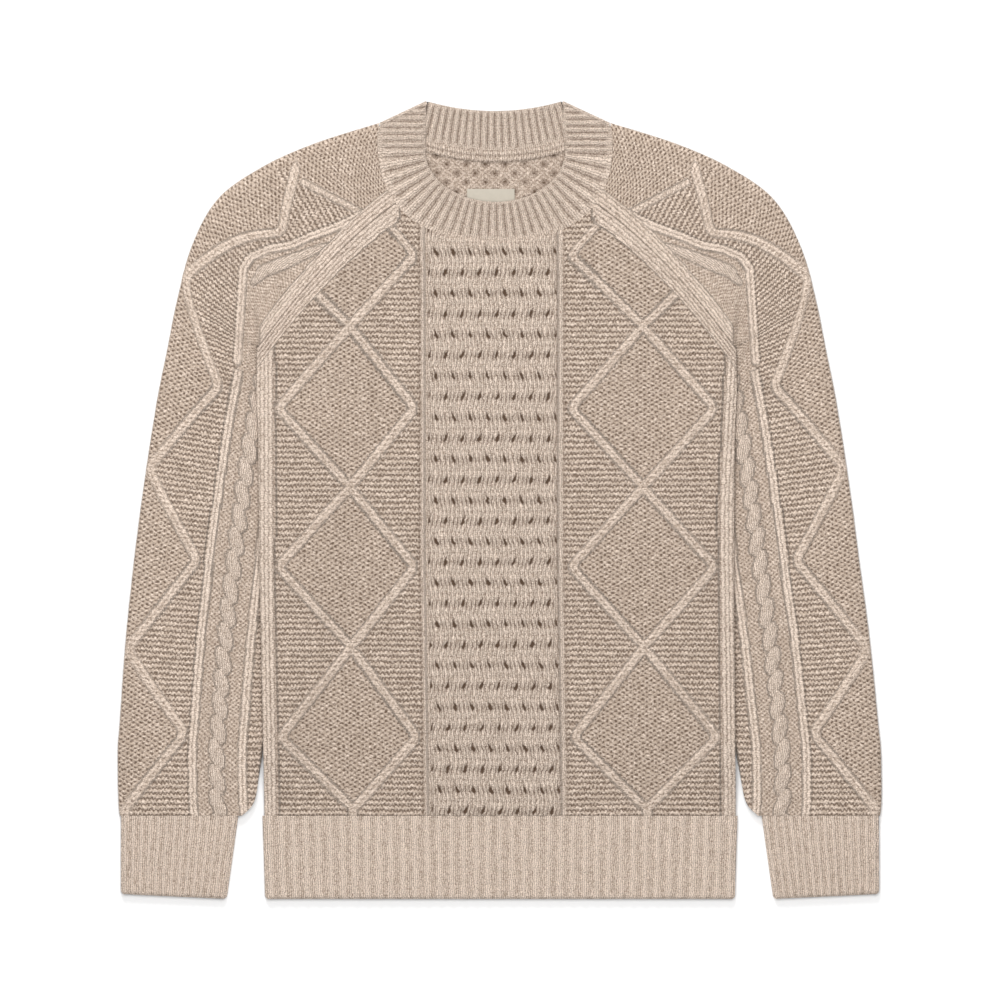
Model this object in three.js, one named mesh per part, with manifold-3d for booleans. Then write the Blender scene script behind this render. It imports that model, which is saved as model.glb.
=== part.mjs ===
// A cable knit sweater laid flat with its front up, in millimetres.
// +Z is up from the surface, +Y runs towards the neck and X = 0 is the middle of the hem.
import * as THREE from "three";
import Module from "manifold-3d";

const wasm = await Module();
wasm.setup();

// The cloth and how its layers lie
const WALL = 2.8; // thickness of the knitted cloth
const GAP = 0.3; // space between two layers and between two pieces
const TOP_LAYER = WALL + GAP; // underside of the upper layer
const LIFT = 7; // how far the sides of the back rise to lie over the sleeves
const FRONT_EXTRA = 0.6; // the front's sides rise this much more
const SEAM_EASE = 0.35; // what each edge stays back from the raglan seam line
const NECK_EASE = 0.6; // what the panels stay back from the collar seam line
const FOLD_TURN = 9; // width of cloth that curves down at a folded edge

// The garment's main sizes
const SEAM_Y = -271.5; // where the hem rib and the cuffs are joined on
const HEM_Y = -343.1; // lower edge of the hem rib
const BODY_EDGE = { armpit: 205.6, hem: 203 }; // half widths of the body
const ARMPIT = { x: 204.2, y: 132.4 };
const NECK_CORNER_X = 86; // where the front raglan seam meets the collar
const BACK_CORNER_X = 72; // where the back raglan seam meets the collar
const ROWS = { splitY: 104, below: 18, above: 6 }; // rows of points on the body panels
const RAGLAN_BOW = 9.7; // how far the front raglan seam bows up from a straight line

// The collar: the seam is a flattened oval and the free edge an ellipse
const COLLAR_SEAM = { halfWidth: 101, drop: 88.6, middleY: 312, power: 2.5 };
const COLLAR_EDGE = { halfWidth: 60, drop: 43.5, middleY: 300, power: 2 };
const COLLAR_TIP = { seamX: 99.3, seamY: 324.2, edgeX: 58.9, edgeY: 343.1 };
const COLLAR_BACK = { seamY: 300, edgeY: 334.5 };
const COLLAR_RIBS = { front: 39, back: 19 };
const COLLAR_RISE = 1.8; // how far the free edge of the front stands up

// The raised work
const RIDGE = { width: 9, height: 2 }; // the travelling stitches of the diamonds
const THIN_RIB = { width: 3.6, height: 1.2 }; // one or two plain columns
const SINK = 1.4; // depth that raised work reaches into its wall
const RIB_HEIGHT = 1.6; // ribs of the hem, cuffs and collar
const DIAMOND_X = 126; // middle of each column of diamonds
const TRELLIS = { halfWidth: 59, top: 213, bottom: -268, across: 8, rows: 27, low: 0.3, high: 1.9 };
const FRONT_COLUMNS = [
  { x: 62, top: 208 },
  { x: 196, top: 120 },
];
const RAGLAN_RIBS = {
  offsets: [8, 16], // distances from the seam
  stretch: 1.2, // height over distance, as the seam slants
  front: { from: 92, to: 190 },
  sleeve: { from: 96, to: 180 },
};
const ROPE = { inset: 85, from: 300, to: 680, turn: 20, reach: 0.46, halfWidth: 5 };
const ROPE_STRAND = { width: 8, height: 2.2 };
const SLEEVE_RIBS = { insets: [64, 107], from: 40, to: 690, steps: 15 };
const LONGEST_STEP = { diamond: 30, column: 36, sleeve: 22 }; // straight steps of raised work
const CLEAR_OF_BODY = 5; // raised work on a sleeve stays this far outside the body's edge
const EDGE_DROP = 1.1; // how far the front's side edge curves down
const HEM_RIBS = 39;
const CUFF_RIBS = 14;

// Sideways lean of the whole lay, which sits a little to the left towards the neck.
const LEAN = [
  { y: 343.1, value: -4.7 },
  { y: 188, value: -3 },
  { y: -52, value: -3 },
  { y: -257, value: 0 },
  { y: -343.1, value: 0 },
];

// Sleeve rungs from the collar to the cuff: the outer fold, and the inner edge of the upper layer.
const RUNGS = [
  { outX: 99.3, outY: 324.2, inX: 86, inY: 255.1 },
  { outX: 156.1, outY: 306.2, inX: 118, inY: 231 },
  { outX: 201.9, outY: 285.5, inX: 150, inY: 199 },
  { outX: 239.6, outY: 258, inX: 175, inY: 171 },
  { outX: 262.3, outY: 216.7, inX: 192.5, inY: 149 },
  { outX: 274.8, outY: 171.1, inX: 206, inY: 132.4 },
  { outX: 283.4, outY: 128.1, inX: 206, inY: 104 },
  { outX: 292, outY: 85.1, inX: 170, inY: 60 },
  { outX: 302.7, outY: 16.3, inX: 163, inY: -4 },
  { outX: 311.8, outY: -52.5, inX: 170, inY: -66 },
  { outX: 319.9, outY: -121.3, inX: 182, inY: -131 },
  { outX: 325.9, outY: -190.1, inX: 199, inY: -190.1 },
  { outX: 328.1, outY: -216, inX: 205, inY: -216 },
  { outX: 328.1, outY: -257, inX: 210.5, inY: -257 },
  { outX: 326.8, outY: SEAM_Y, inX: 221.9, inY: SEAM_Y },
];
const ARMPIT_RUNG = 5;
const LAST_RUNG = RUNGS.length - 1;

// Where the body's underside rises over a tucked sleeve: how much of the lift there is at a height.
const FRONT_LIFT = [
  { y: 190, value: 0 },
  { y: 132, value: 1 },
  { y: -208, value: 1 },
  { y: -266, value: 0 },
];
const BACK_LIFT = [
  { y: 136, value: 0 },
  { y: 108, value: 1 },
  { y: -208, value: 1 },
  { y: -266, value: 0 },
];
// Inner edge of the tucked sleeve, beside which the body rises.
const TUCK = [
  { y: 190, value: 204 },
  { y: 104, value: 200 },
  { y: 60, value: 170 },
  { y: -4, value: 163 },
  { y: -66, value: 170 },
  { y: -131, value: 182 },
  { y: -190, value: 199 },
  { y: -216, value: 204 },
];
const RISE = { clear: 7, width: 44 }; // the slope ends this far inside the tuck
// Crease under the arm: the cloth drops away outside this line.
const CREASE = [
  { y: 200, value: 214 },
  { y: 141, value: 208 },
];
const CREASE_WIDTH = 7;

// Zigzags of the diamonds, as the half width that they have opened to at each height.
const DIAMONDS = [
  { y: 209.8, spread: 56.8 },
  { y: 141, spread: 0 },
  { y: 76.5, spread: 56.8 },
  { y: 10.3, spread: 0 },
  { y: -61, spread: 56.8 },
  { y: -125.6, spread: 0 },
  { y: -207.3, spread: 56.8 },
  { y: -267.5, spread: 0 },
];
const NECK_ROW = { y: 238, spread: 34 }; // the ridge nearer the middle turns back under the collar
const RAGLAN_ROW = { y: 172, spread: 27 }; // the outer ridge stops at the raglan seam
// Zigzag on a sleeve: distance along the outer fold from the collar, and inset from that fold.
const SLEEVE_DIAMONDS = [
  { along: 71, inset: 2 },
  { along: 125, inset: 57 },
  { along: 229.5, inset: 2 },
  { along: 315, inset: 50 },
  { along: 397.8, inset: 2 },
  { along: 472.5, inset: 54 },
  { along: 554.8, inset: 2 },
  { along: 628, inset: 57 },
  { along: 694, inset: 4 },
];

// Small helpers
const smooth = (t) => THREE.MathUtils.smoothstep(t, 0, 1);

// Value of a table at a height, whose rows run from the top down.
function valueAt(table, y) {
  if (y >= table[0].y) return table[0].value;
  for (let i = 1; i < table.length; i += 1) {
    const a = table[i - 1];
    const b = table[i];
    if (y >= b.y) return THREE.MathUtils.mapLinear(y, a.y, b.y, a.value, b.value);
  }
  return table[table.length - 1].value;
}

// A point of the garment, with the lean of the lay.
const spot = (x, y, z) => new THREE.Vector3(x + valueAt(LEAN, y), y, z);

const spread = (from, to, count) =>
  Array.from({ length: count + 1 }, (_, i) => from + ((to - from) * i) / count);

// Seam lines, all as heights over the distance from the middle
const neckSeamY = (x) => {
  const { halfWidth, drop, middleY, power } = COLLAR_SEAM;
  return middleY - drop * Math.pow(1 - Math.pow(x / halfWidth, power), 1 / power);
};
const backSeamY = (x) => {
  const rise = COLLAR_TIP.seamY - COLLAR_BACK.seamY;
  return COLLAR_BACK.seamY + rise * Math.pow(x / COLLAR_TIP.seamX, 2);
};
const raglanY = (x) => {
  const t = (x - NECK_CORNER_X) / (ARMPIT.x - NECK_CORNER_X);
  const bow = RAGLAN_BOW * 4 * Math.max(0, t * (1 - t));
  return THREE.MathUtils.lerp(neckSeamY(NECK_CORNER_X), ARMPIT.y, t) + bow;
};
const backRaglanY = (x) => {
  const t = (x - BACK_CORNER_X) / (ARMPIT.x - BACK_CORNER_X);
  return THREE.MathUtils.lerp(backSeamY(BACK_CORNER_X), ARMPIT.y, t);
};
const bodyEdge = (y) =>
  THREE.MathUtils.mapLinear(y, SEAM_Y, ARMPIT.y, BODY_EDGE.hem, BODY_EDGE.armpit);

// How far a layer is raised above its flat place
function slope(x, y) {
  const start = valueAt(TUCK, y) - RISE.clear - RISE.width;
  return smooth((Math.abs(x) - start) / RISE.width);
}
const frontLift = (x, y) => (LIFT + FRONT_EXTRA) * slope(x, y) * smooth(valueAt(FRONT_LIFT, y));
const backLift = (x, y) => LIFT * slope(x, y) * smooth(valueAt(BACK_LIFT, y));
const sleeveLift = (x, y) => {
  const inside = (valueAt(CREASE, y) - Math.abs(x)) / CREASE_WIDTH;
  return frontLift(x, y) * smooth(inside);
};

// Solids from points

// A closed body from points and triangles, turned to face out.
function solidFrom(points, triangles) {
  let volume = 0;
  for (const [a, b, c] of triangles) {
    volume += points[a].dot(points[b].clone().cross(points[c]));
  }
  const facing = volume < 0 ? triangles.map(([a, b, c]) => [a, c, b]) : triangles;
  const mesh = new wasm.Mesh({
    numProp: 3,
    vertProperties: new Float32Array(points.flatMap((p) => p.toArray())),
    triVerts: new Uint32Array(facing.flat()),
  });
  return new wasm.Manifold(mesh);
}

const quad = (a, b, c, d) => [
  [a, b, c],
  [a, c, d],
];

// Triangles of one face of a grid. Between its first and last rows it uses only the kept columns.
function faceOf(at, rows, keep) {
  const triangles = [];
  for (let k = 0; k < keep.length - 1; k += 1) {
    const [left, right] = [keep[k], keep[k + 1]];
    for (let r = 0; r < rows - 1; r += 1) {
      const above = r + 1;
      if (r === 0) {
        for (let c = left; c < right; c += 1) triangles.push([at(0, c), at(0, c + 1), at(1, left)]);
        triangles.push([at(0, right), at(1, right), at(1, left)]);
      } else if (above === rows - 1) {
        triangles.push([at(r, left), at(r, right), at(above, left)]);
        for (let c = left; c < right; c += 1) {
          triangles.push([at(r, right), at(above, c + 1), at(above, c)]);
        }
      } else {
        triangles.push(...quad(at(r, left), at(r, right), at(above, right), at(above, left)));
      }
    }
  }
  return triangles;
}

// A wall between an outer and an inner grid of points. A ring joins its last column to its first.
// Each face may keep only some columns in its middle rows.
function wall(outer, inner, { ring = false, outerKeep, innerKeep } = {}) {
  const rows = outer.length;
  const columns = outer[0].length;
  const cells = ring ? columns : columns - 1;
  const every = spread(0, cells, cells);
  const at = (side, r, c) => (side * rows + r) * columns + (c % columns);
  const triangles = [
    ...faceOf((r, c) => at(0, r, c), rows, outerKeep ?? every),
    ...faceOf((r, c) => at(1, r, c), rows, innerKeep ?? every).map(([a, b, c]) => [a, c, b]),
  ];
  const last = rows - 1;
  for (let c = 0; c < cells; c += 1) {
    triangles.push(...quad(at(0, 0, c + 1), at(0, 0, c), at(1, 0, c), at(1, 0, c + 1)));
    triangles.push(...quad(at(0, last, c), at(0, last, c + 1), at(1, last, c + 1), at(1, last, c)));
  }
  if (!ring) {
    for (let r = 0; r < last; r += 1) {
      triangles.push(...quad(at(0, r, 0), at(0, r + 1, 0), at(1, r + 1, 0), at(1, r, 0)));
      triangles.push(
        ...quad(at(0, r + 1, cells), at(0, r, cells), at(1, r, cells), at(1, r + 1, cells)),
      );
    }
  }
  return solidFrom([...outer.flat(), ...inner.flat()], triangles);
}

// A bar through rings of equal length, closed at both ends.
function bar(rings) {
  const sides = rings[0].length;
  const triangles = [];
  for (let r = 0; r < rings.length - 1; r += 1) {
    for (let s = 0; s < sides; s += 1) {
      const next = (s + 1) % sides;
      const a = r * sides;
      const b = a + sides;
      triangles.push(...quad(a + s, a + next, b + next, b + s));
    }
  }
  const end = (rings.length - 1) * sides;
  for (let s = 1; s < sides - 1; s += 1) {
    triangles.push([0, s + 1, s], [end, end + s, end + s + 1]);
  }
  return solidFrom(rings.flat(), triangles);
}

// Points of a path at most a step apart.
function stepped(path, step) {
  const made = [path[0]];
  for (let i = 1; i < path.length; i += 1) {
    const count = Math.max(1, Math.ceil(path[i].distanceTo(path[i - 1]) / step));
    for (let k = 1; k <= count; k += 1) {
      made.push(path[i - 1].clone().lerp(path[i], k / count));
    }
  }
  return made;
}

// Cross sections of raised work: shares of its width and height, and its foot inside the wall.
const ROUND = [
  { across: -0.5, up: 0 },
  { across: -0.3, up: 0.75 },
  { across: 0, up: 1 },
  { across: 0.3, up: 0.75 },
  { across: 0.5, up: 0 },
];
const SHARP = [ROUND[0], ROUND[2], ROUND[4]];

// Raised work along a path on a layer, whose level gives the height of the cloth's upper face.
function raised(path, size, level, section = ROUND) {
  const rings = path.map((p, i) => {
    const before = path[Math.max(0, i - 1)];
    const after = path[Math.min(path.length - 1, i + 1)];
    const side = after.clone().sub(before).normalize();
    side.set(-side.y, side.x);
    return section.map(({ across, up }) => {
      const x = p.x + side.x * across * size.width;
      const y = p.y + side.y * across * size.width;
      const z = level(x, y) + (up ? up * size.height : -SINK);
      return spot(x, y, z);
    });
  });
  return bar(rings);
}

const flat = (x, y) => new THREE.Vector2(x, y);
const SIDES = [-1, 1];

// Body panels

// Columns shared by both panels: even to the neck corners, and even on to the side.
function bodyColumns() {
  const half = [
    ...spread(0, BACK_CORNER_X, 5).map((x) => ({ x, out: 0 })),
    ...spread(BACK_CORNER_X, NECK_CORNER_X, 2).slice(1).map((x) => ({ x, out: 0 })),
    ...spread(0, 1, 9).slice(1).map((out) => ({ x: NECK_CORNER_X, out })),
  ];
  const left = half.slice(1).reverse().map((c) => ({ ...c, side: -1 }));
  return [...left, ...half.map((c) => ({ ...c, side: 1 }))];
}

// Columns that the plain faces keep between their first and last rows: few in the flat middle.
const FLAT_MIDDLE = { columns: 10, every: 5 };
function plainColumns() {
  return bodyColumns()
    .map((_, i) => i)
    .filter((i, _, all) => {
      const fromMiddle = Math.abs(i - (all.length - 1) / 2);
      return fromMiddle >= FLAT_MIDDLE.columns || fromMiddle % FLAT_MIDDLE.every === 0;
    });
}

// A flat panel of the body. Its rows are level up to the armpit, and fan out above it.
function panel(topY, level) {
  const columns = bodyColumns();
  const place = (c, y) => {
    const edge = y > ROWS.splitY ? ARMPIT.x : bodyEdge(y);
    return c.x + (edge - SEAM_EASE - c.x) * c.out;
  };
  const levels = [
    ...spread(SEAM_Y, ROWS.splitY, ROWS.below).map((y) => () => y),
    ...spread(0, 1, ROWS.above).slice(1).map((t) => (c) => {
      const top = topY(c.x + (ARMPIT.x - c.x) * c.out);
      return THREE.MathUtils.lerp(ROWS.splitY, top, t);
    }),
  ];
  return levels.map((heightOf) =>
    columns.map((c) => {
      const y = heightOf(c);
      const x = c.side * place(c, y);
      return spot(x, y, level(x, y, c.out === 1));
    }),
  );
}
const frontTopY = (x) => (x <= NECK_CORNER_X ? neckSeamY(x) - NECK_EASE : raglanY(x) - SEAM_EASE);
const backTopY = (x) =>
  x <= BACK_CORNER_X ? backSeamY(x) - NECK_EASE : backRaglanY(x) - SEAM_EASE;

const frontTop = (x, y) => TOP_LAYER + WALL + frontLift(x, y);

// Grid of the trellis: small crossed strands that lean one way and then the other, row by row.
function trellis() {
  const { halfWidth, top, bottom, across, rows, low, high } = TRELLIS;
  const xs = spread(-halfWidth, halfWidth, across * 2);
  const ys = spread(bottom, top, rows * 2);
  const strand = (i, j) => (j % 2 === 0 ? 1 : (i + (j - 1) / 2) % 2);
  const upper = ys.map((y, j) =>
    xs.map((x, i) => spot(x, y, frontTop(x, y) + low + strand(i, j) * (high - low))),
  );
  const lower = ys.map((y) => xs.map((x) => spot(x, y, frontTop(x, y) - SINK)));
  return wall(upper, lower);
}

// The two ridges that cross and part to make a column of diamonds.
function diamondRidges(side) {
  const rows = { inner: [NECK_ROW, ...DIAMONDS], outer: [RAGLAN_ROW, ...DIAMONDS.slice(1)] };
  const path = (list, way) =>
    stepped(
      list.map((row) => flat(side * (DIAMOND_X + way * row.spread), row.y)),
      LONGEST_STEP.diamond,
    );
  return [
    raised(path(rows.inner, -1), RIDGE, frontTop),
    raised(path(rows.outer, 1), RIDGE, frontTop),
  ];
}

// Plain columns beside the raglan seam, on the body or on the sleeve.
function raglanRibs(side, way, level, { from, to }) {
  return RAGLAN_RIBS.offsets.map((offset) => {
    const xs = spread(from, to, 5);
    const path = xs.map((x) => flat(side * x, raglanY(x) + way * offset * RAGLAN_RIBS.stretch));
    return raised(path, THIN_RIB, level, SHARP);
  });
}

// A straight plain column up the front.
function frontColumn(x, top) {
  const path = stepped([flat(x, SEAM_Y + 2), flat(x, top)], LONGEST_STEP.column);
  return raised(path, THIN_RIB, frontTop, SHARP);
}

function front() {
  const level = (x, y, edge) => frontTop(x, y) - (edge ? EDGE_DROP : 0);
  const upper = panel(frontTopY, level);
  const lower = panel(frontTopY, (x, y) => TOP_LAYER + frontLift(x, y));
  const parts = [wall(upper, lower, { innerKeep: plainColumns() }), trellis()];
  for (const side of SIDES) {
    parts.push(...diamondRidges(side), ...raglanRibs(side, -1, frontTop, RAGLAN_RIBS.front));
    parts.push(...FRONT_COLUMNS.map(({ x, top }) => frontColumn(side * x, top)));
  }
  return wasm.Manifold.union(parts);
}

function back() {
  const upper = panel(backTopY, (x, y) => WALL + backLift(x, y));
  const lower = panel(backTopY, backLift);
  const keep = plainColumns();
  return wall(lower, upper, { outerKeep: keep, innerKeep: keep });
}

// Sleeves

const outerFold = new THREE.SplineCurve(RUNGS.map((r) => flat(r.outX, r.outY)));
const innerFold = new THREE.SplineCurve(RUNGS.map((r) => flat(r.inX, r.inY)));
outerFold.arcLengthDivisions = 400;

// Ends of a rung, by its number in the table, for the upper or the under layer.
function rungEnds(number, under) {
  const t = number / LAST_RUNG;
  const out = outerFold.getPoint(t);
  const end = innerFold.getPoint(t);
  if (number <= ARMPIT_RUNG) {
    const share = number / ARMPIT_RUNG;
    if (under) end.x = THREE.MathUtils.lerp(BACK_CORNER_X, RUNGS[ARMPIT_RUNG].inX, share);
    end.y = (under ? backRaglanY(end.x) : raglanY(end.x)) + SEAM_EASE;
    if (number === 0) end.x += SEAM_EASE;
  } else if (number < ARMPIT_RUNG + 1) {
    end.x = RUNGS[ARMPIT_RUNG].inX;
  }
  return { out, end };
}

// A point of the sleeve at a share of a rung, with its top edge bent to the collar seam.
function sleevePoint(number, share, under) {
  const { out, end } = rungEnds(number, under);
  const point = out.clone().lerp(end, share);
  const fade = Math.pow(Math.max(0, 1 - number / 2), 2);
  if (fade > 0) {
    const first = rungEnds(0, under);
    const straight = first.out.clone().lerp(first.end, share);
    const seam = under
      ? flat(straight.x, backSeamY(Math.min(straight.x, COLLAR_TIP.seamX)) - NECK_EASE)
      : flat(seamXAt(straight.y) + NECK_EASE, straight.y);
    point.add(seam.sub(straight).multiplyScalar(fade));
  }
  return point;
}

// Half width of the collar seam at a height.
function seamXAt(y) {
  const { halfWidth, drop, middleY, power } = COLLAR_SEAM;
  if (y >= middleY) {
    return THREE.MathUtils.mapLinear(y, middleY, COLLAR_TIP.seamY, halfWidth, COLLAR_TIP.seamX);
  }
  return halfWidth * Math.pow(1 - Math.pow((middleY - y) / drop, power), 1 / power);
}

// Section of the outer fold: inset from the edge and height, of the outside and of the inside.
const FOLD = [
  { out: FOLD_TURN, outZ: TOP_LAYER + WALL, in: FOLD_TURN, inZ: TOP_LAYER },
  { out: 3, outZ: 5.2, in: 4.2, inZ: 3.05 },
  { out: 0.8, outZ: 4, in: 3.2, inZ: 3 },
  { out: 0, outZ: 2.4, in: 2.9, inZ: 2.95 },
  { out: 0.8, outZ: 0.7, in: 3.2, inZ: 2.88 },
  { out: 3, outZ: 0, in: 4.2, inZ: WALL },
];
const UPPER_SHARES = [1, 0.84, 0.68, 0.52, 0.36, 0.21];
const UNDER_SHARES = [0.5, 1];
const SLEEVE_INNER_COLUMNS = [0, 1, 2, 4, 6, 7, 9, 11, 12, 13];

// Outer and inner points of the sleeve's cloth on one rung, from the front seam round to the back.
function sleeveSection(number, side) {
  const upperEnds = rungEnds(number, false);
  const length = upperEnds.out.distanceTo(upperEnds.end);
  const lifted = number <= ARMPIT_RUNG;
  const outer = [];
  const inner = [];
  for (const share of UPPER_SHARES) {
    const p = sleevePoint(number, share, false);
    const lift = lifted ? sleeveLift(p.x, p.y) : 0;
    outer.push(spot(side * p.x, p.y, TOP_LAYER + WALL + lift));
    inner.push(spot(side * p.x, p.y, TOP_LAYER + lift));
  }
  for (const row of FOLD) {
    const p = sleevePoint(number, row.out / length, false);
    const q = sleevePoint(number, row.in / length, false);
    outer.push(spot(side * p.x, p.y, row.outZ));
    inner.push(spot(side * q.x, q.y, row.inZ));
  }
  for (const share of UNDER_SHARES) {
    const p = sleevePoint(number, share, true);
    outer.push(spot(side * p.x, p.y, 0));
    inner.push(spot(side * p.x, p.y, WALL));
  }
  return { outer, inner };
}

// A place on the sleeve's upper layer: distance along the outer fold, and inset from it.
function sleevePlace(along, inset, side) {
  const t = outerFold.getUtoTmapping(along / outerFold.getLength());
  const { out, end } = rungEnds(t * LAST_RUNG, false);
  const p = out.clone().lerp(end, inset / out.distanceTo(end));
  return flat(side * p.x, p.y);
}
const sleeveTop = (x, y) => TOP_LAYER + WALL + sleeveLift(x, y) * (y > ARMPIT.y ? 1 : 0);
const clearOfBody = (p) =>
  Math.abs(p.x) > bodyEdge(Math.min(p.y, ARMPIT.y)) + CLEAR_OF_BODY;

function sleeveDiamonds(side) {
  const corners = SLEEVE_DIAMONDS.map((row) => flat(row.along, row.inset));
  const steps = stepped(corners, LONGEST_STEP.sleeve);
  const path = steps.map((p) => sleevePlace(p.x, p.y, side));
  return raised(path, RIDGE, sleeveTop);
}

// A plain column down the sleeve, from where it leaves the body's edge.
function sleeveRib(inset, side) {
  const lengths = spread(SLEEVE_RIBS.from, SLEEVE_RIBS.to, SLEEVE_RIBS.steps);
  const path = lengths.map((along) => sleevePlace(along, inset, side)).filter(clearOfBody);
  return raised(path, THIN_RIB, sleeveTop, SHARP);
}

// A rope cable: short slanting strands, one for each crossing.
function rope(side) {
  const strands = [];
  const { inset, from, to, turn, reach, halfWidth } = ROPE;
  for (let along = from; along < to; along += turn) {
    const ends = [-reach, 0, reach].map((t) =>
      sleevePlace(along + t * turn, inset + Math.sign(t) * halfWidth, side),
    );
    if (ends.every(clearOfBody)) strands.push(raised(ends, ROPE_STRAND, sleeveTop, SHARP));
  }
  return strands;
}

function sleeve(side) {
  const sections = spread(0, LAST_RUNG, LAST_RUNG * 2).map((n) => sleeveSection(n, side));
  const grids = [sections.map((s) => s.outer), sections.map((s) => s.inner)];
  const cloth = wall(...grids, { innerKeep: SLEEVE_INNER_COLUMNS });
  const ribs = SLEEVE_RIBS.insets.map((inset) => sleeveRib(inset, side));
  const seamRibs = raglanRibs(side, 1, sleeveTop, RAGLAN_RIBS.sleeve);
  return wasm.Manifold.union([cloth, sleeveDiamonds(side), ...ribs, ...rope(side), ...seamRibs]);
}

// Ribbed tubes: the hem and the cuffs

// How the cloth of a pressed tube turns at its sides.
const TURN = { reach: 3.4, outsideZ: 2.6, insideZ: 2.95, drop: 0.6 };

// Section of a pressed ribbed tube: places across its width, and heights.
function tubeSection(width, ribs) {
  const { reach, outsideZ, insideZ, drop } = TURN;
  const ridges = spread(reach, width - reach, ribs * 2);
  const outer = [{ across: 0, z: outsideZ }];
  const inner = [{ across: WALL, z: insideZ }];
  ridges.forEach((across, i) => {
    const end = i === 0 || i === ridges.length - 1;
    const z = TOP_LAYER + WALL + (i % 2 ? RIB_HEIGHT : 0) - (end ? drop : 0);
    outer.push({ across, z });
    inner.push({ across, z: TOP_LAYER });
  });
  outer.push({ across: width, z: outsideZ });
  inner.push({ across: width - WALL, z: insideZ });
  for (const across of [width - reach, width / 2, reach]) {
    outer.push({ across, z: 0 });
    inner.push({ across, z: WALL });
  }
  return { outer, inner };
}

// A ribbed tube between two lines, each from a left point to a right point.
function ribbedTube(lines, ribs) {
  const grids = { outer: [], inner: [] };
  for (const { left, right } of lines) {
    const section = tubeSection(left.distanceTo(right), ribs);
    const along = right.clone().sub(left).normalize();
    for (const face of ["outer", "inner"]) {
      grids[face].push(
        section[face].map(({ across, z }) =>
          spot(left.x + along.x * across, left.y + along.y * across, z),
        ),
      );
    }
  }
  return wall(grids.outer, grids.inner, { ring: true });
}

const RIB_TOP = SEAM_Y - GAP;
const HEM_ROWS = [
  { half: 204.3, y: RIB_TOP },
  { half: 203, y: -307.8 },
  { half: 202, y: HEM_Y },
];
const CUFF_ROWS = [
  { out: 325.8, outY: RIB_TOP, in: 225, inY: RIB_TOP },
  { out: 326, outY: -306, in: 230, inY: -307.5 },
  { out: 326, outY: -338.8, in: 235, inY: HEM_Y },
];

function hem() {
  const lines = HEM_ROWS.map(({ half, y }) => ({ left: flat(-half, y), right: flat(half, y) }));
  return ribbedTube(lines, HEM_RIBS);
}

function cuff(side) {
  const lines = CUFF_ROWS.map((row) => {
    const outEnd = flat(side * row.out, row.outY);
    const inEnd = flat(side * row.in, row.inY);
    return side < 0 ? { left: outEnd, right: inEnd } : { left: inEnd, right: outEnd };
  });
  return ribbedTube(lines, CUFF_RIBS);
}

// Collar

// Half of an oval from its right tip down to the lowest point and up to its left tip.
function ovalPath(oval, tip) {
  const { halfWidth, drop, middleY, power } = oval;
  const turn = spread(0, Math.PI, 28).map((a) => {
    const cos = Math.cos(a);
    const x = Math.sign(cos) * halfWidth * Math.pow(Math.abs(cos), 2 / power);
    return flat(x, middleY - drop * Math.pow(Math.sin(a), 2 / power));
  });
  return new THREE.SplineCurve([flat(tip.x, tip.y), ...turn, flat(-tip.x, tip.y)]);
}

const RADIAL = [0, 0.5, 1]; // from the seam to the free edge
const TIP_REACH = 3.4; // width of cloth that turns at a shoulder fold
const RIB_END_DROP = 0.8; // the ribs are this much lower at the free edge
const BACK_RIB = { height: 1.2, lastShown: 0.86, fade: 10 }; // where the back's ribs show

// Sections round the collar: the seam point, the edge point, and heights outside and inside.
function collarSections() {
  const seam = ovalPath(COLLAR_SEAM, flat(COLLAR_TIP.seamX, COLLAR_TIP.seamY));
  const edge = ovalPath(COLLAR_EDGE, flat(COLLAR_TIP.edgeX, COLLAR_TIP.edgeY));
  const count = COLLAR_RIBS.front * 2;
  const seams = seam.getSpacedPoints(count);
  const edges = edge.getSpacedPoints(count);
  const sections = [];
  for (let i = 0; i <= count; i += 1) {
    const rib = i % 2 ? RIB_HEIGHT : 0;
    const shift = foldShift(i === 0 ? 1 : i === count ? -1 : 0, TIP_REACH);
    const ends = { seam: seams[i].clone().add(shift), edge: edges[i].clone().add(shift) };
    sections.push({ out: ends, in: ends, outZ: frontCollar(rib), inZ: frontCollar(-WALL) });
  }
  sections.push(...foldSections(-1), ...backSections(), ...foldSections(1).reverse());
  return sections;
}

// Heights of the front collar at the three radial places, over its face.
function frontCollar(extra) {
  return RADIAL.map((r) => {
    const drop = extra > 0 && r === 1 ? RIB_END_DROP : 0;
    return TOP_LAYER + WALL + extra + COLLAR_RISE * r - drop;
  });
}

// Shift from the shoulder fold towards the collar's middle, on the left (-1) or the right (1).
function foldShift(side, distance) {
  const run = flat(COLLAR_TIP.seamX - COLLAR_TIP.edgeX, COLLAR_TIP.edgeY - COLLAR_TIP.seamY);
  run.normalize();
  return flat(-side * run.y, -run.x).multiplyScalar(side === 0 ? 0 : distance);
}

// The turn of the cloth at a shoulder fold, from the upper layer down to the under layer.
function foldSections(side) {
  const tip = {
    seam: flat(side * COLLAR_TIP.seamX, COLLAR_TIP.seamY),
    edge: flat(side * COLLAR_TIP.edgeX, COLLAR_TIP.edgeY),
  };
  const rows = [
    { out: 0.8, outZ: [4.6, 5.4, 6], in: 3.1, inZ: [3, 3.4, 3.8] },
    { out: 0, outZ: [2.8, 3, 3.2], in: 2.8, inZ: [2.95, 3.05, 3.2] },
    { out: 0.8, outZ: [0.8, 0.8, 0.8], in: 3.1, inZ: [2.86, 2.88, 2.9] },
  ];
  const moved = (distance) => {
    const shift = foldShift(side, distance);
    return { seam: tip.seam.clone().add(shift), edge: tip.edge.clone().add(shift) };
  };
  return rows.map((row) => ({ ...row, out: moved(row.out), in: moved(row.in) }));
}

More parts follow.
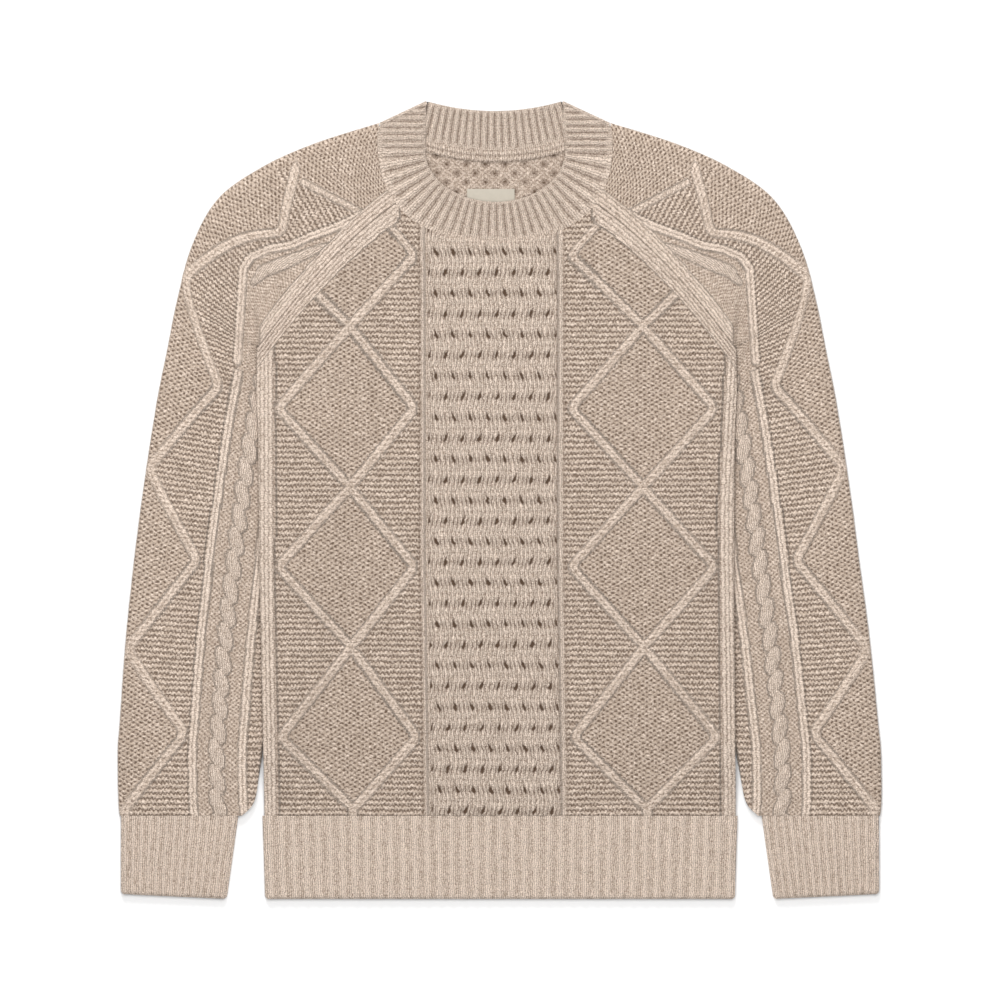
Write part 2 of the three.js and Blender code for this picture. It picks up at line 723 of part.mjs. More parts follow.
// The back of the collar from left to right, its ribs showing on the upper, inner face.
function backSections() {
  const count = COLLAR_RIBS.back * 2;
  return spread(-1, 1, count).map((t, i) => {
    const shift = foldShift(i === 0 ? -1 : i === count ? 1 : 0, TIP_REACH);
    const x = { seam: t * COLLAR_TIP.seamX, edge: t * COLLAR_TIP.edgeX };
    const dip = COLLAR_TIP.edgeY - COLLAR_BACK.edgeY;
    const ends = {
      seam: flat(x.seam, backSeamY(Math.abs(x.seam))).add(shift),
      edge: flat(x.edge, COLLAR_BACK.edgeY + dip * t * t).add(shift),
    };
    const shows = smooth((BACK_RIB.lastShown - Math.abs(t)) * BACK_RIB.fade);
    const rib = i % 2 ? BACK_RIB.height : 0;
    const inZ = RADIAL.map((r) => WALL + rib * shows * (r === 0 ? 0 : 1));
    return { out: ends, in: ends, outZ: [0, 0, 0], inZ };
  });
}

function collar() {
  const sections = collarSections();
  const grid = (face) =>
    RADIAL.map((r, k) =>
      sections.map((s) => {
        const p = s[face].seam.clone().lerp(s[face].edge, r);
        return spot(p.x, p.y, s[`${face}Z`][k]);
      }),
    );
  return wall(grid("out"), grid("in"), { ring: true });
}

// Small pieces at the back of the neck

// The linking strip that covers the collar's back seam on the inside.
function neckTape() {
  const size = { halfLength: 66, steps: 22 };
  const rise = WALL + GAP;
  const rows = [
    { inset: 1, thick: 0.77 },
    { inset: 5, thick: 1.32 },
    { inset: 9, thick: 0.77 },
  ];
  const xs = spread(-size.halfLength, size.halfLength, size.steps);
  const line = (inset, z) => xs.map((x) => spot(x, backSeamY(Math.abs(x)) - inset, z));
  const upper = rows.map(({ inset, thick }) => line(inset, rise + thick));
  const lower = rows.map(({ inset }) => line(inset, rise));
  return wall(upper, lower);
}

// The plain woven label under the strip.
function neckLabel() {
  const size = { left: -24.6, right: 16.4, top: 267.5, bottom: 243, thick: 0.6 };
  const xs = spread(size.left, size.right, 4);
  const ys = spread(size.bottom, size.top, 2);
  const face = (z) => ys.map((y) => xs.map((x) => spot(x, y, z)));
  return wall(face(WALL + GAP + size.thick), face(WALL + GAP));
}

// Materials and the finished garment

const wool = new THREE.MeshStandardMaterial({ color: 0xc1b0a1, roughness: 0.95, metalness: 0 });
const ribWool = new THREE.MeshStandardMaterial({ color: 0xbcab9b, roughness: 0.95, metalness: 0 });
const tapeWeave = new THREE.MeshStandardMaterial({ color: 0xcdbda6, roughness: 0.8, metalness: 0 });

function mesh(name, solid, material) {
  const { vertProperties, triVerts } = solid.getMesh();
  const geometry = new THREE.BufferGeometry();
  geometry.setAttribute("position", new THREE.BufferAttribute(new Float32Array(vertProperties), 3));
  geometry.setIndex(new THREE.BufferAttribute(new Uint32Array(triVerts), 1));
  geometry.computeVertexNormals();
  const made = new THREE.Mesh(geometry, material);
  made.name = name;
  return made;
}

const sweater = new THREE.Group();
sweater.add(
  mesh("back", back(), wool),
  mesh("front", front(), wool),
  mesh("sleeve_left", sleeve(-1), wool),
  mesh("sleeve_right", sleeve(1), wool),
  mesh("hem_rib", hem(), ribWool),
  mesh("cuff_left", cuff(-1), ribWool),
  mesh("cuff_right", cuff(1), ribWool),
  mesh("collar", collar(), ribWool),
  mesh("neck_tape", neckTape(), ribWool),
  mesh("neck_label", neckLabel(), tapeWeave),
);

export default sweater;
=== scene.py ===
# %% [markdown]
# # A cable knit sweater, laid flat
# The sweater lies on a pale floor with its front up. The CAD frame gives where each
# knitted piece lies. Here every piece gets its stitches: real relief in the mesh, and
# finer yarn in the material. Lengths are in millimetres until a mesh is made.

import math

import bmesh
import bpy
import numpy as np
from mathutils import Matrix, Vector


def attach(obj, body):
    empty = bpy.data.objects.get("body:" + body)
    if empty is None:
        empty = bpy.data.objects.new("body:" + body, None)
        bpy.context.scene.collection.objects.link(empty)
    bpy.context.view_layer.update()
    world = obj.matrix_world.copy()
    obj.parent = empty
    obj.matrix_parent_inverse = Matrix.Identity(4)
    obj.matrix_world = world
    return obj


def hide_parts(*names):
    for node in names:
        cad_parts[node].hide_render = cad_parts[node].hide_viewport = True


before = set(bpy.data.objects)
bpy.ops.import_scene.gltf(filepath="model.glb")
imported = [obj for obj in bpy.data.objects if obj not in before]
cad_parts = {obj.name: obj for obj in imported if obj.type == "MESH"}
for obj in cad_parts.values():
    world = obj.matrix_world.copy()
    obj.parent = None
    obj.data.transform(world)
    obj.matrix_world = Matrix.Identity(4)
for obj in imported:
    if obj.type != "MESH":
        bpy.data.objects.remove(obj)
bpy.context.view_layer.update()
MM = 0.001
print("CAD nodes:", sorted(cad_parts))

# %% [markdown]
# ## Sizes
# A knitted wall is 2.8 mm thick and two of them lie on each other. Stitches are 3.4 mm
# wide and 2.03 mm tall, as counted in the photo.

# %% Cloth and stitches
WALL, GAP = 2.8, 0.3
TOP = 2 * WALL + GAP  # upper face of the upper layer where it lies flat
WALE, COURSE = 3.4, 2.03  # width and height of one stitch
GARTER = 4.73  # from one garter ridge to the next
SEAM_Y, HEM_Y = -271.5, -343.1
ARMPIT_X, ARMPIT_Y = 204.2, 132.4
print(f"two walls measure {TOP:.1f} mm, and a stitch {WALE} by {COURSE} mm")

# %% [markdown]
# ## Outline by height
# The sides, the tucked sleeves and the lean change from the hem to the neck. Each is a
# short table of heights and values: it is read off the photo, and one value can be
# mended alone.

# %% Tables of the outline


def table(*rows):
    """A function of height that runs through pairs of height and value."""
    ys, values = np.array(sorted(rows), float).T
    return lambda y: np.interp(y, ys, values)


def smooth(t):
    """A soft step from 0 to 1."""
    t = np.clip(t, 0, 1)
    return t * t * (3 - 2 * t)


lean = table((343.1, -4.7), (188, -3), (-52, -3), (-257, 0), (-343.1, 0))
body_edge = table((SEAM_Y, 203), (60, 205.2), (92, 207), (ARMPIT_Y, 206.4))
front_rise = table((190, 0), (132, 1), (-208, 1), (-266, 0))
back_rise = table((136, 0), (108, 1), (-208, 1), (-266, 0))
tuck = table(
    (190, 204), (104, 200), (60, 170), (-4, 163),
    (-66, 170), (-131, 182), (-190, 199), (-216, 204),
)  # how far out the sleeve below the body reaches under it
crease = table((200, 214), (141, 208))
turn_round = table((140, 7), (85, 4.5), (0, 0))
print(f"the garment leans {lean(ARMPIT_Y):.1f} mm sideways at the armpits")

# %% [markdown]
# ## Seam lines
# The collar sits in a flattened oval, the raglan seams run from it to the armpits, and
# the body rises over the sleeves that are tucked under it.

# %% Seam lines
NECK_X, BACK_NECK_X = 86, 72  # where the raglan seams meet the collar, front and back
NECK_HALF, NECK_DROP, NECK_MIDDLE, NECK_POWER = 101, 88.6, 312, 2.5  # the neck seam's oval
SEAM_TIP, EDGE_TIP = (99.3, 324.2), (58.9, 343.1)  # where the collar folds at a shoulder
RAGLAN_TOP, RAGLAN_BOW = 255.1, 38.8


def neck_seam_y(x):
    part = np.clip(np.abs(x) / NECK_HALF, 0, 1)
    return NECK_MIDDLE - NECK_DROP * (1 - part**NECK_POWER) ** (1 / NECK_POWER)


def back_seam_y(x):
    return 300 + 24.2 * (x / SEAM_TIP[0]) ** 2


def raglan_y(x):
    t = (np.abs(x) - NECK_X) / (ARMPIT_X - NECK_X)
    return RAGLAN_TOP + (ARMPIT_Y - RAGLAN_TOP) * t + RAGLAN_BOW * np.maximum(0, t * (1 - t))


def back_raglan_y(x):
    t = (np.abs(x) - BACK_NECK_X) / (ARMPIT_X - BACK_NECK_X)
    start = back_seam_y(BACK_NECK_X)
    return start + (ARMPIT_Y - start) * t


print(f"the neck seam is {back_seam_y(0) - neck_seam_y(0):.0f} mm deep in its middle")

# %% [markdown]
# ## Rise over the layers below
# Cloth that lies on a tucked sleeve rises in a soft slope. A product of soft steps gives
# that slope without a crease.

# %% Rise of the layers


def slope(x, y):
    """0 over the flat middle, 1 over the tucked sleeves."""
    return smooth((np.abs(x) - (tuck(y) - 51)) / 44)


def front_lift(x, y):
    return 7.6 * slope(x, y) * smooth(front_rise(y))


def back_lift(x, y):
    return 7 * slope(x, y) * smooth(back_rise(y))


def sleeve_lift(x, y):
    return front_lift(x, y) * smooth((crease(y) - np.abs(x)) / 7) * (y > ARMPIT_Y)


print(f"the front rises up to {front_lift(203, 60):.1f} mm over a sleeve")

# %% [markdown]
# ## Uneven wool
# No two stitches of soft wool are quite alike. One slow wave and one finer random field
# push them out of line, from a fixed seed so that each run is the same.

# %% Waves and grain
rng = np.random.default_rng(11)
WAVES = np.column_stack([rng.normal(size=(14, 2)), rng.uniform(0, 2 * math.pi, 14)])


def wander(x, y, size):
    """A smooth value near -1 to 1 that changes over about size mm."""
    parts = [np.sin((kx * x + ky * y) * 2.2 / size + phase) for kx, ky, phase in WAVES]
    return sum(parts) / len(parts) ** 0.5 * 0.8


GRAIN = rng.uniform(-1, 1, (3, 257, 257))


def grain(x, y, size, which=0):
    """A random value that changes smoothly from one patch of size mm to the next."""
    gx, gy = x / size % 256, y / size % 256
    i, j = np.floor(gx).astype(int), np.floor(gy).astype(int)
    a, b = smooth(gx - i), smooth(gy - j)
    f = GRAIN[which]
    low = f[i, j] * (1 - a) + f[i + 1, j] * a
    high = f[i, j + 1] * (1 - a) + f[i + 1, j + 1] * a
    return low * (1 - b) + high * b


def uneven(x, y, u, v):
    """Stitch coordinates that wander a little, as hand-fed wool does."""
    shift = 0.22 * wander(x, y, 55)
    return u + 0.2 * grain(x, y, 5), v + shift + 0.3 * grain(x, y, 5, 1)


print(f"{len(WAVES)} waves and {len(GRAIN)} random fields")

# %% [markdown]
# ## A shell of cloth
# Each piece is a closed shell: a fine outer face and a coarser inner face, made as flat
# grids and bridged round their edges. Its points are then moved to their places.

# %% Two faces joined round their edges


def unit_wall(outer, inner):
    """Two grids, one over the other, bridged round their edges. u and v are kept as x and y."""
    bm = bmesh.new()
    for face, (columns, rows) in enumerate((outer, inner)):
        made = bmesh.ops.create_grid(bm, x_segments=columns, y_segments=rows, size=0.5)["verts"]
        bmesh.ops.translate(bm, verts=made, vec=(0.5, 0.5, face))
    bmesh.ops.bridge_loops(bm, edges=[e for e in bm.edges if e.is_boundary])
    return bm


def unit_ring(outer, inner):
    """One grid that is closed both ways: up the outer face, over the end and down the inner."""
    bm = bmesh.new()
    columns, total = outer[0], outer[1] + inner[1] + 2
    made = bmesh.ops.create_grid(bm, x_segments=columns, y_segments=total, size=0.5)["verts"]
    for i, v in enumerate(made):
        step = i // (columns + 1)
        is_inner = step > outer[1]
        along = 1 - (step - outer[1] - 1) / inner[1] if is_inner else step / outer[1]
        v.co = (v.co.x + 0.5, along, float(is_inner))
    row = columns + 1
    joined = {made[r * row + columns]: made[r * row] for r in range(total)}
    joined.update({made[total * row + c]: made[c] for c in range(columns)})
    joined[made[total * row + columns]] = made[0]
    bmesh.ops.weld_verts(bm, targetmap=joined)
    return bm

# %% [markdown]
# ## Rims
# Two knitted pieces meet edge to edge, with no groove between them. Smooth shading would
# round each rim into one, so the edges between a face and its rim are marked sharp.

# %% Crisp rims


def crisp_rims(mesh, is_inner):
    """Stops the shading from rounding the rims, which would make each seam look like a groove."""
    corners = len(mesh.loops)
    vertex, edge = np.empty(corners, np.int32), np.empty(corners, np.int32)
    mesh.loops.foreach_get("vertex_index", vertex)
    mesh.loops.foreach_get("edge_index", edge)
    total = np.empty(len(mesh.polygons), np.int32)
    mesh.polygons.foreach_get("loop_total", total)
    face = np.repeat(np.arange(len(total)), total)
    inner_corners = np.bincount(face, is_inner[vertex])
    on_wall = (inner_corners > 0) & (inner_corners < total)
    walls = np.bincount(edge, on_wall[face], len(mesh.edges))
    sharp = mesh.attributes.new("sharp_edge", "BOOLEAN", "EDGE")
    sharp.data.foreach_set("value", walls == 1)

# %% [markdown]
# ## From grids to cloth
# A function places the points of each face. It may also give each point its stitch
# number, kind of stitch and its painted shade and highlight, which are stored on the mesh for the
# material.

# %% The shell builder


def shell(name, outer, inner, outer_at, inner_at, ring=False):
    """A closed piece of cloth. The two functions place a face's points from u and v."""
    bm = unit_ring(outer, inner) if ring else unit_wall(outer, inner)
    mesh = bpy.data.meshes.new(name)
    bm.to_mesh(mesh)
    bm.free()
    count = len(mesh.vertices)
    co = np.empty(count * 3, np.float32)
    mesh.vertices.foreach_get("co", co)
    co = co.reshape(-1, 3).astype(float)
    is_inner = co[:, 2] > 0.5
    u, v = co[:, 0], co[:, 1]
    place = np.zeros((count, 3))
    stitch = np.zeros((count, 3))
    kind = np.ones((count, 4))
    # painted shade where positive and painted highlight where negative, worked out from the relief
    tone = np.zeros(count)
    for chosen, at in ((~is_inner, outer_at), (is_inner, inner_at)):
        made = at(u[chosen], v[chosen])
        place[chosen] = np.column_stack(made["place"])
        across, along = made.get("stitch", (made["place"][0] / WALE, made["place"][1] / COURSE))
        open_work = np.zeros_like(across) + made.get("open_work", 0)
        stitch[chosen] = np.column_stack([across, along, open_work])
        knit, moss, garter = made.get("kind", (1, 0, 0))
        kind[chosen, 0], kind[chosen, 1], kind[chosen, 2] = knit, moss, garter
        tone[chosen] = made.get("tone", 0)
    place[:, 0] += lean(place[:, 1])
    mesh.vertices.foreach_set("co", (place * MM).astype(np.float32).ravel())
    for label, kind_of, field, values in (
        ("stitch", "FLOAT_VECTOR", "vector", stitch),
        ("kind", "FLOAT_COLOR", "color", kind),
        ("tone", "FLOAT", "value", tone),
    ):
        layer = mesh.attributes.new(label, kind_of, "POINT")
        layer.data.foreach_set(field, values.astype(np.float32).ravel())
    bm = bmesh.new()
    bm.from_mesh(mesh)
    bmesh.ops.recalc_face_normals(bm, faces=bm.faces)
    if bm.calc_volume(signed=True) < 0:
        bmesh.ops.reverse_faces(bm, faces=bm.faces)
    triangles = sum(len(f.verts) - 2 for f in bm.faces)
    area = sum(f.calc_area() for f in bm.faces)
    bm.to_mesh(mesh)
    bm.free()
    mesh.shade_smooth()
    crisp_rims(mesh, is_inner)
    obj = bpy.data.objects.new(name, mesh)
    bpy.context.scene.collection.objects.link(obj)
    print(f"{name}: {triangles} triangles, half its area is {area / 2:.4f} square metres")
    return obj


# %% [markdown]
# ## Stitch patterns
# Moss stitch is a chequer of bumps and garter stitch is wavy ridges. Sine waves on the
# stitch numbers give both, and narrow bells give columns, ridges and grooves.

# %% Relief of each stitch


def moss(u, v):
    return 0.5 + 0.5 * np.sin(math.pi * u) * np.sin(math.pi * v)


def garter(u, v):
    row = v * COURSE / GARTER + 0.16 * np.sin(2 * math.pi * u)
    return 0.5 + 0.5 * np.cos(2 * math.pi * row)


def column(distance, width=3.0):
    """Profile of a raised plain column of stitches."""
    return np.exp(-((distance / (0.42 * width)) ** 2))


def ridge(distance, half=4.9):
    """Profile of a travelling ridge."""
    return np.clip(1 - (distance / half) ** 2, 0, 1) ** 0.85


def groove(distance, half=1.1):
    """A narrow dark line."""
    return np.exp(-((distance / half) ** 2))


print(f"a garter ridge every {GARTER / COURSE:.1f} rows")

# %% [markdown]
# ## Seam columns and trellis
# Four plain columns run along each raglan seam. The trellis crosses small strands over
# and back, and leaves a slanting hole at each crossing, so its height dips there.

# %% Seam columns and trellis
SEAM_BAND = 12.4  # width of the plain columns on each side of a raglan seam
SEAM_PITCH = 3.1


def seam_columns(distance):
    return 0.5 - 0.5 * np.cos(2 * math.pi * distance / SEAM_PITCH)


REPEAT, HOLE_ROW, HOLE_BOTTOM = 14.75, 17.8, -268  # of the trellis
TRELLIS_WALE = REPEAT / 4


def trellis(x, y):
    """Height of the crossed strands, which dip at their holes."""
    row = (y - HOLE_BOTTOM) / HOLE_ROW
    near = np.round(row)
    way = np.where(near % 2 == 0, 1, -1)
    dy = (row - near) * HOLE_ROW
    shifted = x / REPEAT + 0.5 * (near % 2)
    straight = (shifted - np.round(shifted)) * REPEAT
    dx = straight - way * 0.4 * dy
    hole = np.exp(-((dx / 1.4) ** 2) - np.where(dy > 0, dy / 3.4, dy / 1.9) ** 2)
    tail = np.exp(-((dx / 1.1) ** 2)) * smooth(dy / 2) * smooth((10.5 - dy) / 6)
    between = np.exp(-(((np.abs(dy) - HOLE_ROW / 2) / 1.6) ** 2))
    wales = np.abs(np.sin(math.pi * x / TRELLIS_WALE))
    dips = 2.4 * hole + 1.1 * tail + 0.7 * between + 0.5 * np.exp(-((dy / 3.4) ** 2))
    return 1.5 - dips + 0.8 * wales


print(f"a row of holes every {HOLE_ROW} mm, a hole every {REPEAT} mm")

# %% [markdown]
# ## Front
# The front has the trellis down its middle and a column of diamonds on each side. Moss
# fills the diamonds, garter lies round them, and thin columns run along the seams.

# %% Diamonds
DIAMOND_X = 126  # middle of each column of diamonds
DIAMONDS = [
    (210.5, 56.8), (149.5, 0), (79, 56.8), (11, 0),
    (-57.5, 56.8), (-126.5, 0), (-204, 56.8), (-266, 0),
]  # height and half width at each corner
BLUNT_FROM, BLUNT_BY = 52, 4.8


def blunt(spread):
    """The same spread with its widest corners rounded off."""

    def rounded(y):
        past = spread(y) - BLUNT_FROM
        return np.where(past > 0, BLUNT_FROM + BLUNT_BY * (1 - np.exp(-past / BLUNT_BY)), spread(y))

    return rounded


inner_spread = blunt(table((238, 34), *DIAMONDS))
outer_spread = blunt(table(*DIAMONDS))
HEIGHTS = np.arange(-345, 345)
OPENING = np.gradient(outer_spread(HEIGHTS))  # how fast the diamonds open with height


def spreads(x, y):
    """Half widths towards the middle and the side. The right column is wider."""
    return inner_spread(y) * np.where(x > 0, 1.09, 0.98), outer_spread(y) * 1.09


def diamond_lines(x, y):
    """Distances from the two ridges of a column of diamonds."""
    opening = np.interp(y, HEIGHTS, OPENING)
    tilt = 1 / np.sqrt(1 + opening**2)
    off = np.abs(x) - DIAMOND_X
    inner, outer = spreads(x, y)
    return (off + inner) * tilt, (off - outer) * tilt, opening


def crossed(first, second, first_over):
    """Two ridges of which one dips where the other passes over it."""
    over = np.where(first_over, first, second)
    under = np.where(first_over, second, first)
    low = 1 - 0.6 * np.exp(-((over / 6.5) ** 2))
    return np.maximum(ridge(over), ridge(under) * low)


print(f"{len(DIAMONDS)} rows of corners, {outer_spread(79) * 2:.0f} mm wide where a diamond is widest")

# %% [markdown]
# ## Shares of each stitch
# A ridge is plain knitting that travels over the ground. Where it covers the ground, the
# share of moss or garter goes down and that of plain knitting goes up.

# %% Shares of each stitch
PLAIN_COLUMNS = (194.4, 198)  # at the sides of the front
RIDGE_HEIGHT, COLUMN_HEIGHT, SEAM_HEIGHT = 1.8, 1.3, 1.1


def ground_height(x, y, u, v, moss_share, garter_share):
    strength = 1 + 0.3 * grain(x, y, 6, 2)
    return (1.1 * moss(u, v) * moss_share + 1.0 * garter(u, v) * garter_share) * strength


def stitch_kinds(plain, covered, moss_share, garter_share):
    """Shares of plain knit, moss and garter stitch."""
    bare = 1 - covered
    return np.clip(plain + 0.6 * covered, 0, 1), moss_share * bare + 0.4 * covered, garter_share * bare


# Painted highlight on the seam columns and painted shade between them.
def seam_shade_and_highlight(seam):
    return 0.1 - 0.3 * seam_columns(seam)


print("heights of ridge, column and seam column:", RIDGE_HEIGHT, COLUMN_HEIGHT, SEAM_HEIGHT)

# %% [markdown]
# ## Relief of the front
# From the middle out: the trellis, a plain column, the diamonds on garter stitch, and
# two plain columns that turn a little round the right side.

# %% Relief of the front


def front_relief(x, y):
    hx = np.abs(x)
    u, v = uneven(x, y, x / WALE, y / COURSE)
    off = hx - DIAMOND_X
    inner, outer = spreads(x, y)
    spread = np.where(off < 0, inner, outer)
    middle = hx + np.where(x > 0, 7.8, 0)  # the trellis is narrower on the right
    inside = smooth((spread - np.abs(off)) / 1.6 + 0.5)
    seam = np.where(hx > NECK_X - 4, 0.7 * (raglan_y(x) - y), 99)
    seam_band = smooth((SEAM_BAND - seam) / 1.5) * smooth((hx - NECK_X + 6) / 7)
    side = hx - np.where(x > 0, turn_round(y), 0)  # the right side turns a little under
    side_band = smooth((side - 190) / 1.5)
    centre_band = smooth((66 - middle) / 1.5)
    plain = np.maximum.reduce([seam_band, side_band, centre_band])
    inner_line, outer_line, opening = diamond_lines(x, y)
    ridges = crossed(inner_line, outer_line, opening * np.sign(x) < 0) * (1 - plain)
    nearest = np.where(np.abs(inner_line) < np.abs(outer_line), inner_line, outer_line)
    moss_share = inside * (1 - plain)
    garter_share = (1 - inside) * (1 - plain)
    heights = ground_height(x, y, u, v, moss_share, garter_share)
    trellis_share = smooth((59.5 - middle) / 1.5)
    trellis_u = u + x / TRELLIS_WALE - x / WALE
    heights = heights + trellis(trellis_u * TRELLIS_WALE, v * COURSE) * trellis_share
    heights = np.maximum(heights, RIDGE_HEIGHT * ridges)
    columns = column(middle - 62.5) + sum(column(side - at) for at in PLAIN_COLUMNS)
    heights = heights + COLUMN_HEIGHT * columns * (1 - seam_band)
    heights = heights + SEAM_HEIGHT * seam_band * seam_columns(seam)
    covered = np.clip(ridges * 1.8, 0, 1)
    on_ridge = covered > 0.6
    stitch_u = np.where(middle < 61, trellis_u, np.where(on_ridge, nearest / 7.5 + 0.5, u))
    stitch_u = np.where(side > 190, (side - 196.2) / 7.2 + 0.5, stitch_u)
    stitch_u = np.where(seam_band > 0.5, seam / SEAM_PITCH / 2, stitch_u)
    stitch_v = np.where(seam_band > 0.5, (hx - y) * 0.71 / COURSE, v)
    kind = stitch_kinds(plain, covered, moss_share, garter_share)
    # Painted shade in the gutters beside the plain columns and along the ridges' edges, and painted
    # highlight on the columns, the ridges and the seam columns.
    gutters = groove(middle - 65.8) + 0.7 * groove(middle - 60)
    gutters = gutters + groove(side - 191.4) + 0.7 * groove(side - 196.2, 0.8)
    edges = 0.04 * groove(np.abs(nearest) - 4.8) * (1 - plain)
    tone = (0.55 * gutters - 0.5 * columns) * (1 - seam_band)
    tone = tone + edges - 0.15 * covered + seam_band * seam_shade_and_highlight(seam)
    return heights, (stitch_u, stitch_v), kind, tone, trellis_share


# %% [markdown]
# ## Rows of a body panel
# Below the armpits the rows of points lie level. Above them they fan out to the raglan
# seams and the neck, as the shaped edge of a knitted panel does.

# %% Rows of a body panel
SPLIT_Y = 104  # above this the rows of the body fan out towards the neck
HALF_WIDTH = 203.85
BODY_HALF = np.concatenate([np.arange(0, 200.2, 1.74), [201.4, 202.5, 203.2, 203.65, HALF_WIDTH]])
BODY_COLUMNS = np.concatenate([-BODY_HALF[:0:-1], BODY_HALF])
FRONT_ROWS = (296, 84)  # below and above the split


def body_place(u, v, columns, share, top_y):
    """Place on a body panel from u and v, with rows that fan out above the split."""
    pos = np.interp(u, np.linspace(0, 1, len(columns)), columns)
    low = np.minimum(v / share, 1)
    y = SEAM_Y + (SPLIT_Y - SEAM_Y) * low
    hx = np.abs(pos)

    def widened(edge):
        stretch = (edge - 0.35 - NECK_X) / (HALF_WIDTH - NECK_X)
        return np.where(hx <= NECK_X, hx, NECK_X + (hx - NECK_X) * stretch)

    high = np.clip((v - share) / (1 - share), 0, 1)
    x_top = widened(body_edge(ARMPIT_Y))
    y = np.where(high > 0, SPLIT_Y + (top_y(x_top) - SPLIT_Y) * high, y)
    x = widened(body_edge(y))
    return np.sign(pos) * x, y


print(f"{len(BODY_COLUMNS)} columns of points, {sum(FRONT_ROWS)} rows on the front")

# %% [markdown]
# ## Front panel
# The sides roll down at their edge, and the relief sinks a little just at each seam.

# %% Place the front


def front_top_y(x):
    return np.where(x <= NECK_X, neck_seam_y(x) - 0.08, raglan_y(x) - 0.1)


def roll(distance, reach, drop):
    """How far an edge curves down at a distance from it."""
    t = np.clip(1 - distance / reach, 0, 1)
    return drop * (1 - np.sqrt(np.clip(1 - t * t, 0, 1)))


def front_outer(u, v):
    share = FRONT_ROWS[0] / sum(FRONT_ROWS)
    x, y = body_place(u, v, BODY_COLUMNS, share, front_top_y)
    heights, stitch, kind, tone, open_work = front_relief(x, y)
    side = body_edge(y) - np.abs(x)
    seam = front_top_y(np.abs(x)) - y
    bottom = y - SEAM_Y
    fade = smooth(side / 3) * smooth(seam / 1.2 + 0.3) * smooth(bottom / 1.5 + 0.55)
    z = TOP + front_lift(x, y) + heights * fade
    z = z - roll(side, 3.4, 2.3) - roll(seam, 1, 0.15) - roll(bottom, 1, 0.15)
    values = {"stitch": stitch, "kind": kind, "tone": tone, "open_work": open_work}
    return {"place": (x, y, z), **values}


def front_inner(u, v):
    share = FRONT_ROWS[0] / sum(FRONT_ROWS)
    x, y = body_place(u, v, BODY_COLUMNS, share, front_top_y)
    return {"place": (x * 0.998, y, TOP - WALL + front_lift(x, y))}


FRONT_GRID = (len(BODY_COLUMNS) - 1, sum(FRONT_ROWS))
front = shell("Front", FRONT_GRID, (40, 60), front_outer, front_inner)

# %% [markdown]
# ## Back
# The back lies under the front. Only its inside shows, through the neck, where the
# trellis of the back is seen from behind as a lattice.

# %% Place the back


def back_top_y(x):
    raglan = back_raglan_y(np.maximum(x, BACK_NECK_X))
    return np.where(x <= BACK_NECK_X, back_seam_y(x) - 0.4, raglan - 0.35)


ACROSS, DOWN, CROSS_Y = 16.8, 15.5, 281  # of the lattice inside the neck


def reverse_trellis(x, y):
    """The trellis seen from inside: strands that cross like a lattice."""
    a = (x / ACROSS + (y - CROSS_Y) / DOWN) % 1 - 0.5
    b = (x / ACROSS - (y - CROSS_Y) / DOWN) % 1 - 0.5
    first, second = np.exp(-((a / 0.17) ** 2)), np.exp(-((b / 0.17) ** 2))
    return 1.6 * np.maximum(first, 0.8 * second) + 0.25 * np.abs(np.sin(math.pi * y / COURSE))


def back_face(u, v, upper):
    x, y = body_place(u, v, BODY_COLUMNS, 0.72, back_top_y)
    side = body_edge(y) - np.abs(x)
    lift = back_lift(x, y)
    if upper:
        weave = reverse_trellis(x, y)
        shows = smooth((64 - np.abs(x)) / 3) * smooth((y - 200) / 10)
        z = WALL + lift + (weave - 1.6) * shows - roll(side, 3, 0.7)
        kind = (1 - 0.6 * shows, 0.35 * shows, 0)
        return {"place": (x, y, z), "kind": kind, "open_work": -shows}
    return {"place": (x, y, lift + roll(side, 3.2, 1.6))}


back = shell(
    "Back",
    (150, 200),
    (110, 120),
    lambda u, v: back_face(u, v, True),
    lambda u, v: back_face(u, v, False),
)

# %% [markdown]
# ## Sleeves
# A raglan sleeve is knitted flat and folded round. Its outer edge is a smooth fold, and
# its inner edge is tucked under the body below the armpit.

# %% Rungs of the sleeve
RUNGS = np.array([
    (99.3, 324.2, 86, 255.1), (156.1, 306.2, 118, 231), (201.9, 285.5, 150, 199),
    (239.6, 258, 175, 171), (262.3, 216.7, 192.5, 149), (274.8, 171.1, 206, 132.4),
    (283.4, 128.1, 206, 104), (292, 85.1, 170, 60), (302.7, 16.3, 163, -4),
    (311.8, -52.5, 170, -66), (319.9, -121.3, 182, -131), (325.9, -190.1, 199, -190.1),
    (328.1, -216, 205, -216), (328.1, -257, 210.5, -257), (326.8, SEAM_Y, 221.9, SEAM_Y),
])  # outer fold x and y, and inner edge x and y
LAST = len(RUNGS) - 1
ARMPIT_RUNG = 5


def through(points, number):
    """A smooth curve through rows of points, at a row number with a fraction."""
    last = len(points) - 1
    i = np.clip(np.floor(number).astype(int), 0, last - 1)
    w = (number - i)[:, None]
    p0, p1 = points[np.maximum(i - 1, 0)], points[i]
    p2, p3 = points[i + 1], points[np.minimum(i + 2, last)]
    a, b = (p2 - p0) / 2, (p3 - p1) / 2
    return (2 * p1 - 2 * p2 + a + b) * w**3 + (3 * p2 - 3 * p1 - 2 * a - b) * w**2 + a * w + p1


dense = np.linspace(0, LAST, 4001)
dense_points = through(RUNGS[:, :2], dense)
dense_length = np.concatenate([[0], np.cumsum(np.hypot(*np.diff(dense_points, axis=0).T))])
SLEEVE_LENGTH = dense_length[-1]


def rung_number(along):
    return np.interp(along, dense_length, dense)


print(f"the sleeve measures {SLEEVE_LENGTH:.0f} mm along its fold")

# %% [markdown]
# ## The sleeve's inner edge
# Above the armpit the edge follows the raglan seam, on the front or on the back. At the
# collar the first rungs bend to the neck seam.

# %% Ends of the rungs


